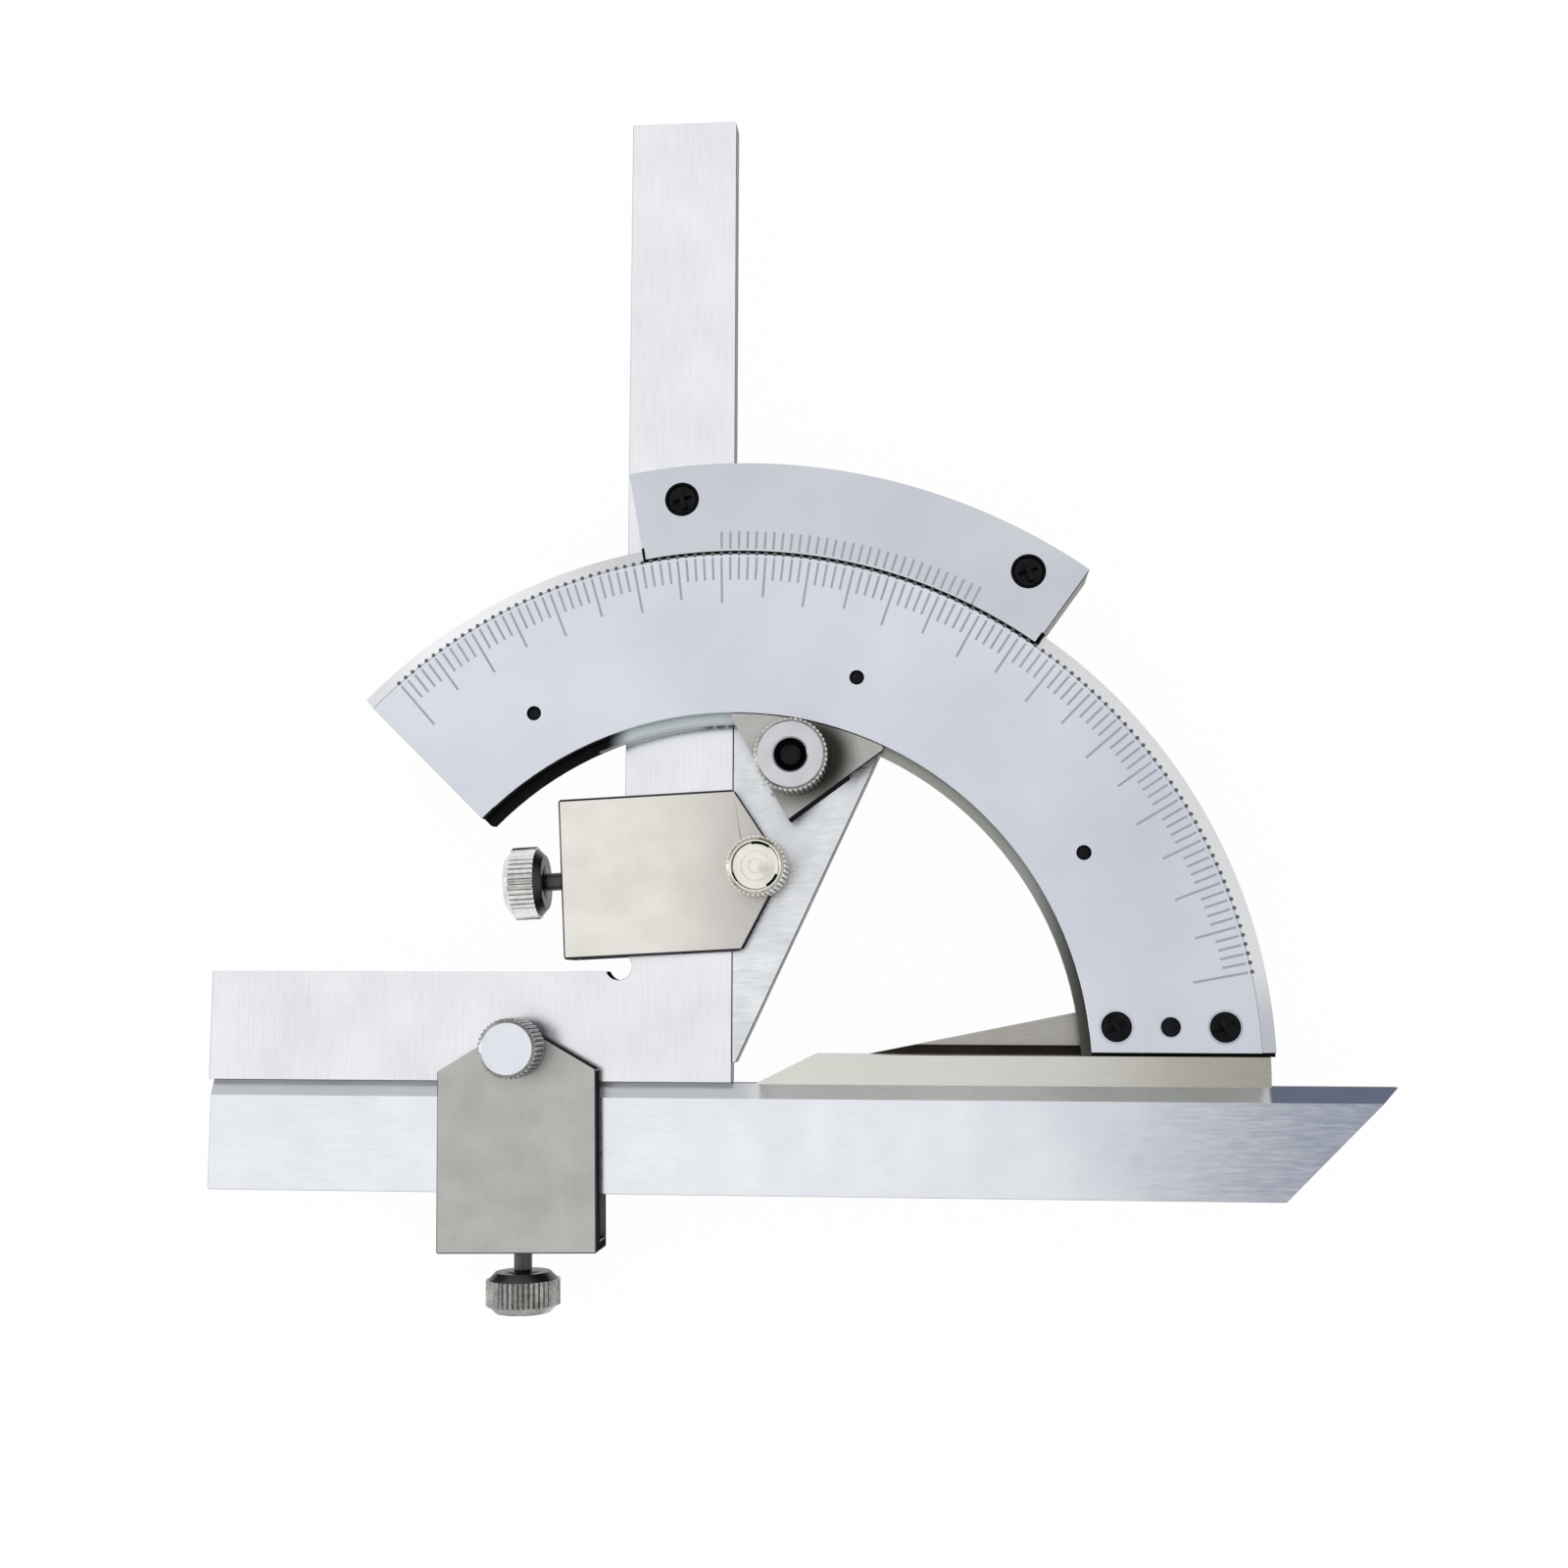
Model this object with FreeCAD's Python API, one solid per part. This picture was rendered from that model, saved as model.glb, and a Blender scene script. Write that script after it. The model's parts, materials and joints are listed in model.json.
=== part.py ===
# Universal bevel protractor with a sector scale, a vernier, a square and a straight ruler.
# Millimetres. The tool lies on its back: +Z points out of the scale, +X along the straight ruler
# and +Y along the upright leg of the square. The origin is the axis that the sector swings about,
# at the level that the tool rests on.
import FreeCAD
import Part
import math
import os

# Levels, from the resting plane up
rear_knob_height = 5.4
thrust_washer_thickness = 0.5
plate_thickness = 3.2
gear_thickness = 1.8
frame_thickness = 3.5
scale_thickness = 1.6

# Clearances
running_clearance = 0.05
swing_clearance = 0.1
hole_clearance = 0.05
seat_clearance = 0.02

# Sector: radii from the swing axis, angles from +X
scale_inner_radius = 44.4
sector_outer_radius = 66.6
scale_bevel_width = 1.85
scale_bevel_drop = 1.2
sector_start_angle = -15.0
sector_end_angle = 135.5
ledge_width = 1.15
gear_ring_width = 8.6
scale_foot_height = 2.2

# Rack teeth inside the sector, and the pinion that runs in them
pitch_line_inset = 0.4
pressure_angle = 20.0
ring_teeth = 176
pinion_teeth = 19
pinion_angle = 78.3
tooth_backlash = 0.08
tooth_root_clearance = 0.125
spaces_behind = 28
spaces_ahead = 8

# Pins and screws that hold the sector together
sector_pin_radius = 0.8
sector_pin_inset = 6.8
sector_pin_angles = (119.5, 71.9, 31.2)
sector_pin_recess = 0.3
foot_screw_shares = (0.135, 0.721)
foot_screw_height = 5.3
foot_dowel_radius = 1.3
foot_dowel_recess = 0.3
foot_dowel_length = 7.0
foot_screw_length = 6.6

# Cap screws
screw_head_radius = 2.0
screw_head_height = 1.3
screw_shank_radius = 1.2
screw_recess = 0.3

# Swivel plate, its rim and the vernier
swivel_left_x = -0.25
swivel_right_angle = 64.9
swivel_tip_height = 0.5
rim_width = 10.0
rim_start_angle = 54.0
rim_end_angle = 100.0
vernier_thickness = 1.6
vernier_gap = 0.2
vernier_lip_clearance = 0.08
vernier_screw_offset = 5.7
vernier_screw_angles = (95.1, 58.8)
vernier_screw_length = 4.2

# Square and straight ruler
blade_width = 13.95
square_top = 124.9
square_left = -68.35
square_gap = 0.05
blade_edge_height = -2.0
notch_radius = 1.7
notch_offset = 0.6
blade_break = 0.25
ruler_length = 150.0
ruler_left = -68.05
ruler_bevel_width = 1.95
ruler_bevel_depth = 1.0
ruler_end_angle = 45.0

# Base ruler
base_top = 1.7
base_drop = 1.0
base_end_inset = 0.7
base_tip_x = 3.1
base_tip_angle = 26.5
web_slope = 11.45
web_start_x = 17.0
web_groove_width = 1.2
web_groove_depth = 0.6

# Clamp blocks, measured from their knob
block_half_width = 10.2
block_wall_distance = 25.5
block_shoulder_distance = 2.9
block_apex_angle = 30.5
block_front_plate = 2.4
block_back_plate = 1.0
block_wall = 1.3
upper_knob_x = 3.45
upper_knob_y = 24.9
upper_block_turn = 3.0
lower_knob_x = -27.4
lower_knob_y = 2.3
lower_block_turn = 1.0

# Knobs and thumb screws
lock_knob_radius = 3.8
lock_knob_height = 5.2
lock_shaft_radius = 1.5
knurl_depth = 0.3
knurl_ridges = 22
thumb_head_radius = 4.7
thumb_head_length = 4.6
thumb_collar_radius = 3.3
thumb_collar_length = 0.9
thumb_neck_radius = 1.15
thumb_neck_length = 2.6
pressure_shoe_length = 12.0
pressure_shoe_width = 2.6
pressure_shoe_socket = 1.2
pressure_shoe_seat = 0.06

# Pinion, rear knob, stud, brake pad and brake nut
pinion_hub_radius = 3.0
pinion_shaft_radius = 2.2
stud_radius = 1.25
stud_head_radius = 2.4
stud_head_height = 1.2
stud_head_recess = 1.0
stud_head_clearance = 0.1
rear_knob_radius = 6.2
rear_knob_ridges = 26
washer_radius = 4.2
grub_radius = 0.75
grub_recess = 0.4
pad_thickness = 1.3
pad_left_angle = 90.3
pad_right_angle = 63.9
pad_depth = 12.6
pad_point_angle = 76.8
pad_corner_radius = 0.35
brake_nut_radius = 4.4
brake_nut_height = 5.0
brake_nut_mouth_radius = 2.05
brake_nut_mouth_depth = 1.6
stud_end_depth = 0.5

# Heights and places that follow from the sizes above
plate_back = rear_knob_height + thrust_washer_thickness + 2 * running_clearance
plate_front = plate_back + plate_thickness
plate_middle = (plate_back + plate_front) / 2
sector_back = plate_front + swing_clearance
gear_front = sector_back + gear_thickness
frame_front = sector_back + frame_thickness
scale_face = frame_front + scale_thickness
vernier_back = scale_face - vernier_thickness
blade_back = plate_back + running_clearance
blade_front = plate_front - running_clearance
block_front = plate_front + block_front_plate
block_back = plate_back - block_back_plate
base_front = scale_face - base_drop
ledge_radius = scale_inner_radius - ledge_width
ring_pitch_radius = scale_inner_radius - pitch_line_inset
gear_module = 2 * ring_pitch_radius / ring_teeth
pinion_pitch_radius = gear_module * pinion_teeth / 2
pinion_centre_radius = ring_pitch_radius - pinion_pitch_radius
pinion_tip_radius = pinion_pitch_radius + gear_module
pinion_x = pinion_centre_radius * math.cos(math.radians(pinion_angle))
pinion_y = pinion_centre_radius * math.sin(math.radians(pinion_angle))
scale_edge_radius = sector_outer_radius - scale_bevel_width
foot_screw_x = [scale_inner_radius + share * (sector_outer_radius - scale_inner_radius)
                for share in foot_screw_shares]
base_end_radius = sector_outer_radius - base_end_inset
gear_ring_radius = scale_inner_radius + gear_ring_width
sector_pin_circle = scale_inner_radius + sector_pin_inset
rim_inner_radius = sector_outer_radius + swing_clearance
rim_outer_radius = sector_outer_radius + rim_width
vernier_screw_circle = sector_outer_radius + vernier_screw_offset
square_right = swivel_left_x - square_gap
base_bottom = blade_edge_height + running_clearance
pad_back = frame_front + running_clearance
pad_front = pad_back + pad_thickness
pad_outer_radius = scale_inner_radius - swing_clearance
pad_point_radius = pad_outer_radius - pad_depth
stud_bore_radius = stud_radius + hole_clearance
far = 200.0


def vec(x, y, z=0.0):
    return FreeCAD.Vector(x, y, z)


def at(radius, degrees, z=0.0):
    """Point at a radius and an angle about the swing axis."""
    turn = math.radians(degrees)
    return vec(radius * math.cos(turn), radius * math.sin(turn), z)


def raise_face(edges, low, high):
    """Closed outline in the XY plane made solid between two levels."""
    face = Part.Face(Part.Wire(edges))
    face.translate(vec(0, 0, low))
    return face.extrude(vec(0, 0, high - low))


def prism(points, low, high):
    """Polygon made solid between two levels."""
    corners = [vec(x, y) for x, y in points]
    return raise_face(Part.makePolygon(corners + corners[:1]).Edges, low, high)


def block(x_low, x_high, y_low, y_high, z_low, z_high):
    size = (x_high - x_low, y_high - y_low, z_high - z_low)
    return Part.makeBox(*size, vec(x_low, y_low, z_low))


def disc(x, y, radius, low, high):
    return Part.makeCylinder(radius, high - low, vec(x, y, low))


def line(start, end):
    return Part.LineSegment(start, end).toShape()


def arc(radius, start, end):
    """Arc about the swing axis from one angle to another."""
    middle = (start + end) / 2
    return Part.Arc(at(radius, start), at(radius, middle), at(radius, end)).toShape()


def arc_plate(inner, outer, start, end, low, high):
    """Flat piece between two radii and two angles about the swing axis."""
    edges = [arc(inner, start, end), line(at(inner, end), at(outer, end)),
             arc(outer, end, start), line(at(outer, start), at(inner, start))]
    return raise_face(edges, low, high)


def swept_section(points, start, end):
    """Section given as (radius, height) points, swept about the swing axis."""
    corners = [vec(radius, 0, height) for radius, height in points]
    face = Part.Face(Part.makePolygon(corners + corners[:1]))
    face.rotate(vec(0, 0), vec(0, 0, 1), start)
    return face.revolve(vec(0, 0), vec(0, 0, 1), end - start)


def one_solid(shape):
    """The single solid of a boolean result, with its split faces joined again."""
    return shape.removeSplitter().Solids[0]


def knurled_drum(radius, low, high, ridges):
    """Straight-knurled drum about Z."""
    root = radius - knurl_depth
    points = []
    for i in range(2 * ridges):
        reach = radius if i % 2 == 0 else root
        turn = math.pi * i / ridges
        points.append((reach * math.cos(turn), reach * math.sin(turn)))
    return prism(points, low, high)


def cap_screw(x, y, head_top, length):
    """Cylinder-head screw along Z, its head at the top."""
    head_low = head_top - screw_head_height
    head = disc(x, y, screw_head_radius, head_low, head_top)
    return head.fuse(disc(x, y, screw_shank_radius, head_top - length, head_low))


def screw_pocket(x, y, head_top, length, mouth):
    """Space for a cap screw whose head is let in from the level called mouth."""
    head_low = head_top - screw_head_height
    head_hole = disc(x, y, screw_head_radius + hole_clearance, head_low, mouth)
    shank_low = head_top - length - hole_clearance
    shank_hole = disc(x, y, screw_shank_radius + hole_clearance, shank_low, head_low)
    return head_hole.fuse(shank_hole)


def foot_cutter(height):
    """Everything below a line parallel to the base ruler."""
    return block(-far, far, -far, height, -far, far)


def foot_screw_spots():
    return [(x, foot_screw_height) for x in foot_screw_x]


def foot_dowel_x():
    return (foot_screw_x[0] + foot_screw_x[1]) / 2


def sector_holes():
    """Holes for the pins, which end on the gear, and for the dowel and screws of the base ruler."""
    top = scale_face + 1
    holes = []
    for angle in sector_pin_angles:
        spot = at(sector_pin_circle, angle)
        holes.append(disc(spot.x, spot.y, sector_pin_radius + seat_clearance, gear_front, top))
    for x, y in foot_screw_spots():
        holes.append(screw_pocket(x, y, scale_face - screw_recess, foot_screw_length, top))
    low = scale_face - foot_dowel_recess - foot_dowel_length
    holes.append(disc(foot_dowel_x(), foot_screw_height, foot_dowel_radius + seat_clearance, low, top))
    return Part.makeCompound(holes)


def swept_sector(section, foot_height):
    """Section swept from below the base line to the left end, cut flat at its foot."""
    solid = swept_section(section, sector_start_angle, sector_end_angle)
    return solid.cut(foot_cutter(foot_height)).cut(sector_holes())


def scale_plate():
    section = [(scale_inner_radius, frame_front), (sector_outer_radius, frame_front),
               (sector_outer_radius, scale_face - scale_bevel_drop), (scale_edge_radius, scale_face),
               (scale_inner_radius, scale_face)]
    return one_solid(swept_sector(section, scale_foot_height))


def frame_foot():
    return base_top + seat_clearance


def sector_frame():
    """Main ring of the sector, with a rebate at the back for the gear segment."""
    gear_seat = gear_ring_radius + seat_clearance
    section = [(ledge_radius, gear_front), (gear_seat, gear_front), (gear_seat, sector_back),
               (sector_outer_radius, sector_back), (sector_outer_radius, frame_front),
               (ledge_radius, frame_front)]
    return one_solid(swept_sector(section, frame_foot()))


def involute_angle(base_radius, radius):
    """Polar angle swept by an involute of a base circle up to a radius."""
    slope = math.acos(base_radius / radius)
    return math.tan(slope) - slope


def sector_gear():
    """Segment with internal teeth. A space points at the pinion when the tool is closed."""
    base_radius = ring_pitch_radius * math.cos(math.radians(pressure_angle))
    tip = ring_pitch_radius - gear_module
    root = ring_pitch_radius + gear_module + tooth_root_clearance
    half_space = (math.pi * gear_module / 2 + tooth_backlash) / 2 / ring_pitch_radius
    centre = half_space + involute_angle(base_radius, ring_pitch_radius)
    half_tip = math.degrees(centre - involute_angle(base_radius, tip))
    half_root = math.degrees(centre - involute_angle(base_radius, root))
    corners = []
    for i in range(-spaces_behind, spaces_ahead + 1):
        aim = pinion_angle + i * 360.0 / ring_teeth
        corners += [(tip, aim - half_tip), (root, aim - half_root)]
        corners += [(root, aim + half_root), (tip, aim + half_tip)]
    teeth = [at(radius, angle) for radius, angle in corners]
    start, end = sector_start_angle, sector_end_angle
    edges = [line(a, b) for a, b in zip(teeth, teeth[1:])]
    edges += [arc(tip, corners[-1][1], end), line(at(tip, end), at(gear_ring_radius, end)),
              arc(gear_ring_radius, end, start), line(at(gear_ring_radius, start), at(tip, start)),
              arc(tip, start, corners[0][1])]
    ring = raise_face(edges, sector_back, gear_front)
    return one_solid(ring.cut(foot_cutter(frame_foot())).cut(sector_holes()))


def sector_pins():
    """Pins that tie the scale plate to the frame."""
    pins = []
    for angle in sector_pin_angles:
        spot = at(sector_pin_circle, angle)
        pins.append(disc(spot.x, spot.y, sector_pin_radius, gear_front, scale_face - sector_pin_recess))
    return Part.makeCompound(pins)


def base_screws():
    return Part.makeCompound([cap_screw(x, y, scale_face - screw_recess, foot_screw_length)
                              for x, y in foot_screw_spots()])


def base_dowel():
    top = scale_face - foot_dowel_recess
    return disc(foot_dowel_x(), foot_screw_height, foot_dowel_radius, top - foot_dowel_length, top)


def base_ruler():
    """Ruler of the sector: a thick bar with a bevelled tip, and a web under the sector's foot."""
    rise = base_top - base_bottom
    tip_top_x = base_tip_x + rise / math.tan(math.radians(base_tip_angle))
    end = sector_outer_radius
    bar = prism([(base_tip_x, base_bottom), (end, base_bottom), (end, base_top), (tip_top_x, base_top)],
                plate_back, base_front)
    web_top = base_top + (end - web_start_x) * math.tan(math.radians(web_slope))
    web = prism([(web_start_x, base_top), (web_start_x, base_bottom), (end, base_bottom), (end, web_top)],
                plate_back, sector_back)
    ruler = bar.fuse(web).common(disc(0, 0, base_end_radius, plate_back - 1, base_front + 1))
    groove = block(web_start_x - 1, end, base_top, base_top + web_groove_width,
                   sector_back - web_groove_depth, sector_back + 1)
    return one_solid(ruler.cut(groove).cut(sector_holes()))


def shaft_hole(x, y, radius):
    return disc(x, y, radius + hole_clearance, block_back - 1, scale_face + 1)


def vernier_screw_spots():
    return [at(vernier_screw_circle, angle) for angle in vernier_screw_angles]


def vernier_pockets():
    top = scale_face - screw_recess
    return Part.makeCompound([screw_pocket(s.x, s.y, top, vernier_screw_length, scale_face + 1)
                              for s in vernier_screw_spots()])


def vernier_screws():
    top = scale_face - screw_recess
    return Part.makeCompound([cap_screw(s.x, s.y, top, vernier_screw_length)
                              for s in vernier_screw_spots()])


def swivel_plate():
    """Fan-shaped plate with an arc-shaped rim that passes over the square's leg."""
    tip_x = swivel_tip_height / math.tan(math.radians(swivel_right_angle))
    left_angle = math.degrees(math.acos(swivel_left_x / rim_outer_radius))
    edges = [line(vec(swivel_left_x, swivel_tip_height), vec(tip_x, swivel_tip_height)),
             line(vec(tip_x, swivel_tip_height), at(rim_inner_radius, swivel_right_angle)),
             arc(rim_inner_radius, swivel_right_angle, rim_start_angle),
             line(at(rim_inner_radius, rim_start_angle), at(rim_outer_radius, rim_start_angle)),
             arc(rim_outer_radius, rim_start_angle, left_angle),
             line(at(rim_outer_radius, left_angle), vec(swivel_left_x, swivel_tip_height))]
    plate = raise_face(edges, plate_back, plate_front)
    rim = arc_plate(rim_inner_radius, rim_outer_radius, rim_start_angle, rim_end_angle,
                    plate_front, vernier_back)
    plate = plate.fuse(rim)
    plate = plate.cut(shaft_hole(upper_knob_x, upper_knob_y, lock_shaft_radius))
    plate = plate.cut(shaft_hole(pinion_x, pinion_y, pinion_shaft_radius))
    return one_solid(plate.cut(vernier_pockets()))


def vernier_plate():
    """Plate flush with the scale, with a thin lip that lies over the scale's bevelled rim."""
    slope = scale_bevel_drop / (sector_outer_radius - scale_edge_radius)
    lip_radius = scale_edge_radius + vernier_gap
    lip_low = scale_face - vernier_gap * slope + vernier_lip_clearance
    under = scale_face - (rim_inner_radius - scale_edge_radius) * slope + vernier_lip_clearance
    section = [(lip_radius, scale_face), (lip_radius, lip_low), (rim_inner_radius, under),
               (rim_inner_radius, vernier_back), (rim_outer_radius, vernier_back),
               (rim_outer_radius, scale_face)]
    plate = swept_section(section, rim_start_angle, rim_end_angle)
    return one_solid(plate.cut(vernier_pockets()))


def square():
    """Steel square: upright leg beside the swivel plate, level leg along the straight ruler."""
    inner_x = square_right - blade_width
    inner_y = blade_edge_height + blade_width
    outline = [(square_left, blade_edge_height), (square_right, blade_edge_height),
               (square_right, square_top - blade_break), (square_right - blade_break, square_top),
               (inner_x, square_top), (inner_x, inner_y), (square_left, inner_y)]
    solid = prism(outline, blade_back, blade_front)
    solid = solid.cut(disc(inner_x - notch_offset, inner_y + notch_offset, notch_radius, 0, far))
    return one_solid(solid.cut(shaft_hole(lower_knob_x, lower_knob_y, lock_shaft_radius)))


def ruler_top():
    return blade_edge_height - square_gap


def straight_ruler():
    """Ruler with a bevelled measuring edge and one end cut at an angle."""
    top = ruler_top()
    bottom = top - blade_width
    right = ruler_left + ruler_length
    cut_back = blade_width / math.tan(math.radians(ruler_end_angle))
    solid = prism([(ruler_left, bottom), (right - cut_back, bottom), (right, top), (ruler_left, top)],
                  blade_back, blade_front)
    edge, foot = vec(0, top, blade_front), vec(0, top, blade_front - ruler_bevel_depth)
    wedge = Part.Face(Part.makePolygon([edge, foot, vec(0, top - ruler_bevel_width, blade_front), edge]))
    wedge.translate(vec(ruler_left - 1, 0))
    return one_solid(solid.cut(wedge.extrude(vec(ruler_length + 2, 0, 0))))


def local_block():
    """Clamp block about its knob: the wall lies towards -X and the point towards +X."""
    apex = block_half_width * math.tan(math.radians(block_apex_angle)) - block_shoulder_distance
    outline = [(-block_wall_distance, -block_half_width), (-block_shoulder_distance, -block_half_width),
               (apex, 0), (-block_shoulder_distance, block_half_width),
               (-block_wall_distance, block_half_width)]
    body = prism(outline, block_back, block_front)
    inner_wall = -block_wall_distance + block_wall
    body = body.cut(block(inner_wall, far, -far, far, plate_back, plate_front))
    thread = Part.makeCylinder(thumb_neck_radius + hole_clearance, far, vec(inner_wall + 1, 0, plate_middle),
                               vec(-1, 0, 0))
    return body.cut(thread)


def clamp_block(knob_x, knob_y, turn):
    """Clamp block set on its knob: two plates joined by a wall, with a channel for the blades."""
    body = local_block()
    body.rotate(vec(0, 0), vec(0, 0, 1), turn)
    body.translate(vec(knob_x, knob_y))
    return body.cut(shaft_hole(knob_x, knob_y, lock_shaft_radius))


def lock_knob(x, y):
    """Knurled knob in front of a clamp block, with the shaft that pins the block in place."""
    low = block_front + running_clearance
    high = low + lock_knob_height
    knob = knurled_drum(lock_knob_radius, low, high, knurl_ridges)
    knob = knob.fuse(disc(0, 0, lock_shaft_radius, block_back, low))
    knob.translate(vec(x, y))
    return one_solid(knob)


def shoe_reach(edge_distance):
    """How far the inner end of a thumb screw lies from the knob, given the edge that the shoe meets."""
    return edge_distance + pressure_shoe_seat + pressure_shoe_width - pressure_shoe_socket


def thumb_screw(knob_x, knob_y, turn, edge_distance):
    """Thumb screw through the wall of a clamp block, its end held in the pressure shoe."""
    wall = block_wall_distance
    neck_end = wall + thumb_neck_length
    head_low = neck_end + thumb_collar_length
    shank = disc(0, 0, thumb_neck_radius, shoe_reach(edge_distance) + hole_clearance, neck_end)
    collar = Part.makeCone(thumb_collar_radius, thumb_head_radius - 2 * knurl_depth, thumb_collar_length,
                           vec(0, 0, neck_end))
    head = knurled_drum(thumb_head_radius, head_low, head_low + thumb_head_length, knurl_ridges)
    screw = one_solid(shank.fuse([collar, head]))
    screw.rotate(vec(0, 0), vec(0, 1, 0), -90)
    screw.rotate(vec(0, 0), vec(0, 0, 1), turn)
    screw.translate(vec(knob_x, knob_y, plate_middle))
    return screw


def pressure_shoe(knob_x, knob_y, turn, blade_turn, edge_distance):
    """Bar that bears on the blade, square to it, with a socket for the end of the thumb screw."""
    near = edge_distance + pressure_shoe_seat
    half = pressure_shoe_length / 2
    slide = near * math.tan(math.radians(turn - blade_turn))
    shoe = block(-near - pressure_shoe_width, -near, -half - slide, half - slide, blade_back, blade_front)
    shoe.rotate(vec(0, 0), vec(0, 0, 1), blade_turn)
    socket = Part.makeCylinder(thumb_neck_radius + hole_clearance, far,
                               vec(-shoe_reach(edge_distance), 0, plate_middle), vec(-1, 0, 0))
    socket.rotate(vec(0, 0), vec(0, 0, 1), turn)
    shoe.translate(vec(knob_x, knob_y))
    socket.translate(vec(knob_x, knob_y))
    return one_solid(shoe.cut(socket))


def upper_edge_distance():
    """From the upper knob to the edge of the square that its shoe presses."""
    return upper_knob_x - square_right + blade_width


def lower_edge_distance():
    """From the lower knob to the edge of the straight ruler that its shoe presses."""
    return lower_knob_y - ruler_top() + blade_width


def pinion_outline():
    """Teeth as (x, y) points, each flank straight from the root to the end of its involute."""
    base_radius = pinion_pitch_radius * math.cos(math.radians(pressure_angle))
    root = pinion_pitch_radius - gear_module - tooth_root_clearance
    tip = pinion_tip_radius
    centre = math.pi / 2 / pinion_teeth + involute_angle(base_radius, pinion_pitch_radius)
    half_base = math.degrees(centre)
    half_tip = math.degrees(centre - involute_angle(base_radius, tip))
    pitch = 360.0 / pinion_teeth
    flank = [(root, half_base), (tip, half_tip)]
    corners = []
    for i in range(pinion_teeth):
        aim = pinion_angle + i * pitch
        corners += [at(radius, aim - half) for radius, half in flank]
        corners += [at(radius, aim + half) for radius, half in reversed(flank)]
    return [(p.x, p.y) for p in corners]


def shaft_length_low():
    """Level of the lower end of the pinion shaft, inside the rear knob."""
    return stud_head_recess + stud_head_height + running_clearance


def drive_pinion():
    """Pinion with a hub in front and a hollow shaft that runs through the swivel plate."""
    teeth = prism(pinion_outline(), plate_front + running_clearance, gear_front)
    hub = disc(0, 0, pinion_hub_radius, gear_front, pad_back - running_clearance)
    shaft = disc(0, 0, pinion_shaft_radius, shaft_length_low(), plate_front + running_clearance)
    pinion = teeth.fuse([hub, shaft]).cut(disc(0, 0, stud_bore_radius, 0, far))
    pinion.translate(vec(pinion_x, pinion_y))
    return one_solid(pinion)


def rear_knob():
    """Knurled drive knob on the pinion shaft, hollowed for the head of the stud."""
    knob = knurled_drum(rear_knob_radius, 0, rear_knob_height, rear_knob_ridges)
    knob = knob.cut(disc(0, 0, pinion_shaft_radius + seat_clearance, -1, rear_knob_height + 1))
    knob = knob.cut(disc(0, 0, stud_head_radius + stud_head_clearance, -1, shaft_length_low()))
    grub = Part.makeCylinder(grub_radius + seat_clearance, far, vec(0, 0, grub_level()), vec(1, 0, 0))
    knob = knob.cut(grub)
    knob.translate(vec(pinion_x, pinion_y))
    return one_solid(knob)


def grub_level():
    return (shaft_length_low() + rear_knob_height) / 2


def knob_grub_screw():
    """Set screw that ties the rear knob to the pinion shaft."""
    start = pinion_shaft_radius + seat_clearance
    length = rear_knob_radius - knurl_depth - grub_recess - start
    return Part.makeCylinder(grub_radius, length, vec(pinion_x + start, pinion_y, grub_level()),
                             vec(1, 0, 0))


def thrust_washer():
    low = rear_knob_height + running_clearance
    ring = disc(pinion_x, pinion_y, washer_radius, low, low + thrust_washer_thickness)
    return ring.cut(disc(pinion_x, pinion_y, pinion_shaft_radius + hole_clearance, 0, far))


def brake_stud():
    """Bolt through the hollow pinion, its head let into the rear knob and its end in the brake nut."""
    head_top = stud_head_recess + stud_head_height
    end = pad_front + running_clearance + brake_nut_height - stud_end_depth
    stud = disc(0, 0, stud_head_radius, stud_head_recess, head_top)
    stud = stud.fuse(disc(0, 0, stud_radius, head_top, end))
    stud.translate(vec(pinion_x, pinion_y))
    return one_solid(stud)


def brake_pad():
    """Three-cornered pad on the sector's ledge, with a heel that stands on the swivel plate."""
    outer = pad_outer_radius
    left, right = at(outer, pad_left_angle), at(outer, pad_right_angle)
    point = at(pad_point_radius, pad_point_angle)
    outline = [arc(outer, pad_right_angle, pad_left_angle), line(left, point), line(point, right)]
    pad = raise_face(outline, pad_back, pad_front)
    upright = [edge for edge in pad.Edges if edge.BoundBox.ZLength > pad_thickness / 2]
    pad = pad.makeFillet(pad_corner_radius, upright)
    heel = raise_face(outline, plate_front + running_clearance, pad_back + pad_thickness / 2)
    heel = heel.common(disc(0, 0, pinion_centre_radius, 0, far))
    heel = heel.cut(disc(pinion_x, pinion_y, pinion_tip_radius + swing_clearance, 0, far))
    pad = pad.fuse(heel)
    return one_solid(pad.cut(disc(pinion_x, pinion_y, stud_bore_radius, 0, far)))


def brake_nut():
    """Round knurled nut with a wide mouth in which the end of the stud shows."""
    low = pad_front + running_clearance
    high = low + brake_nut_height
    nut = knurled_drum(brake_nut_radius, low, high, knurl_ridges)
    nut = nut.cut(disc(0, 0, stud_bore_radius, 0, far))
    nut = nut.cut(disc(0, 0, brake_nut_mouth_radius, high - brake_nut_mouth_depth, far))
    nut.translate(vec(pinion_x, pinion_y))
    return one_solid(nut)


def upper_clamp(make, *sizes):
    return make(upper_knob_x, upper_knob_y, *sizes)


def lower_clamp(make, *sizes):
    return make(lower_knob_x, lower_knob_y, *sizes)


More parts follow.
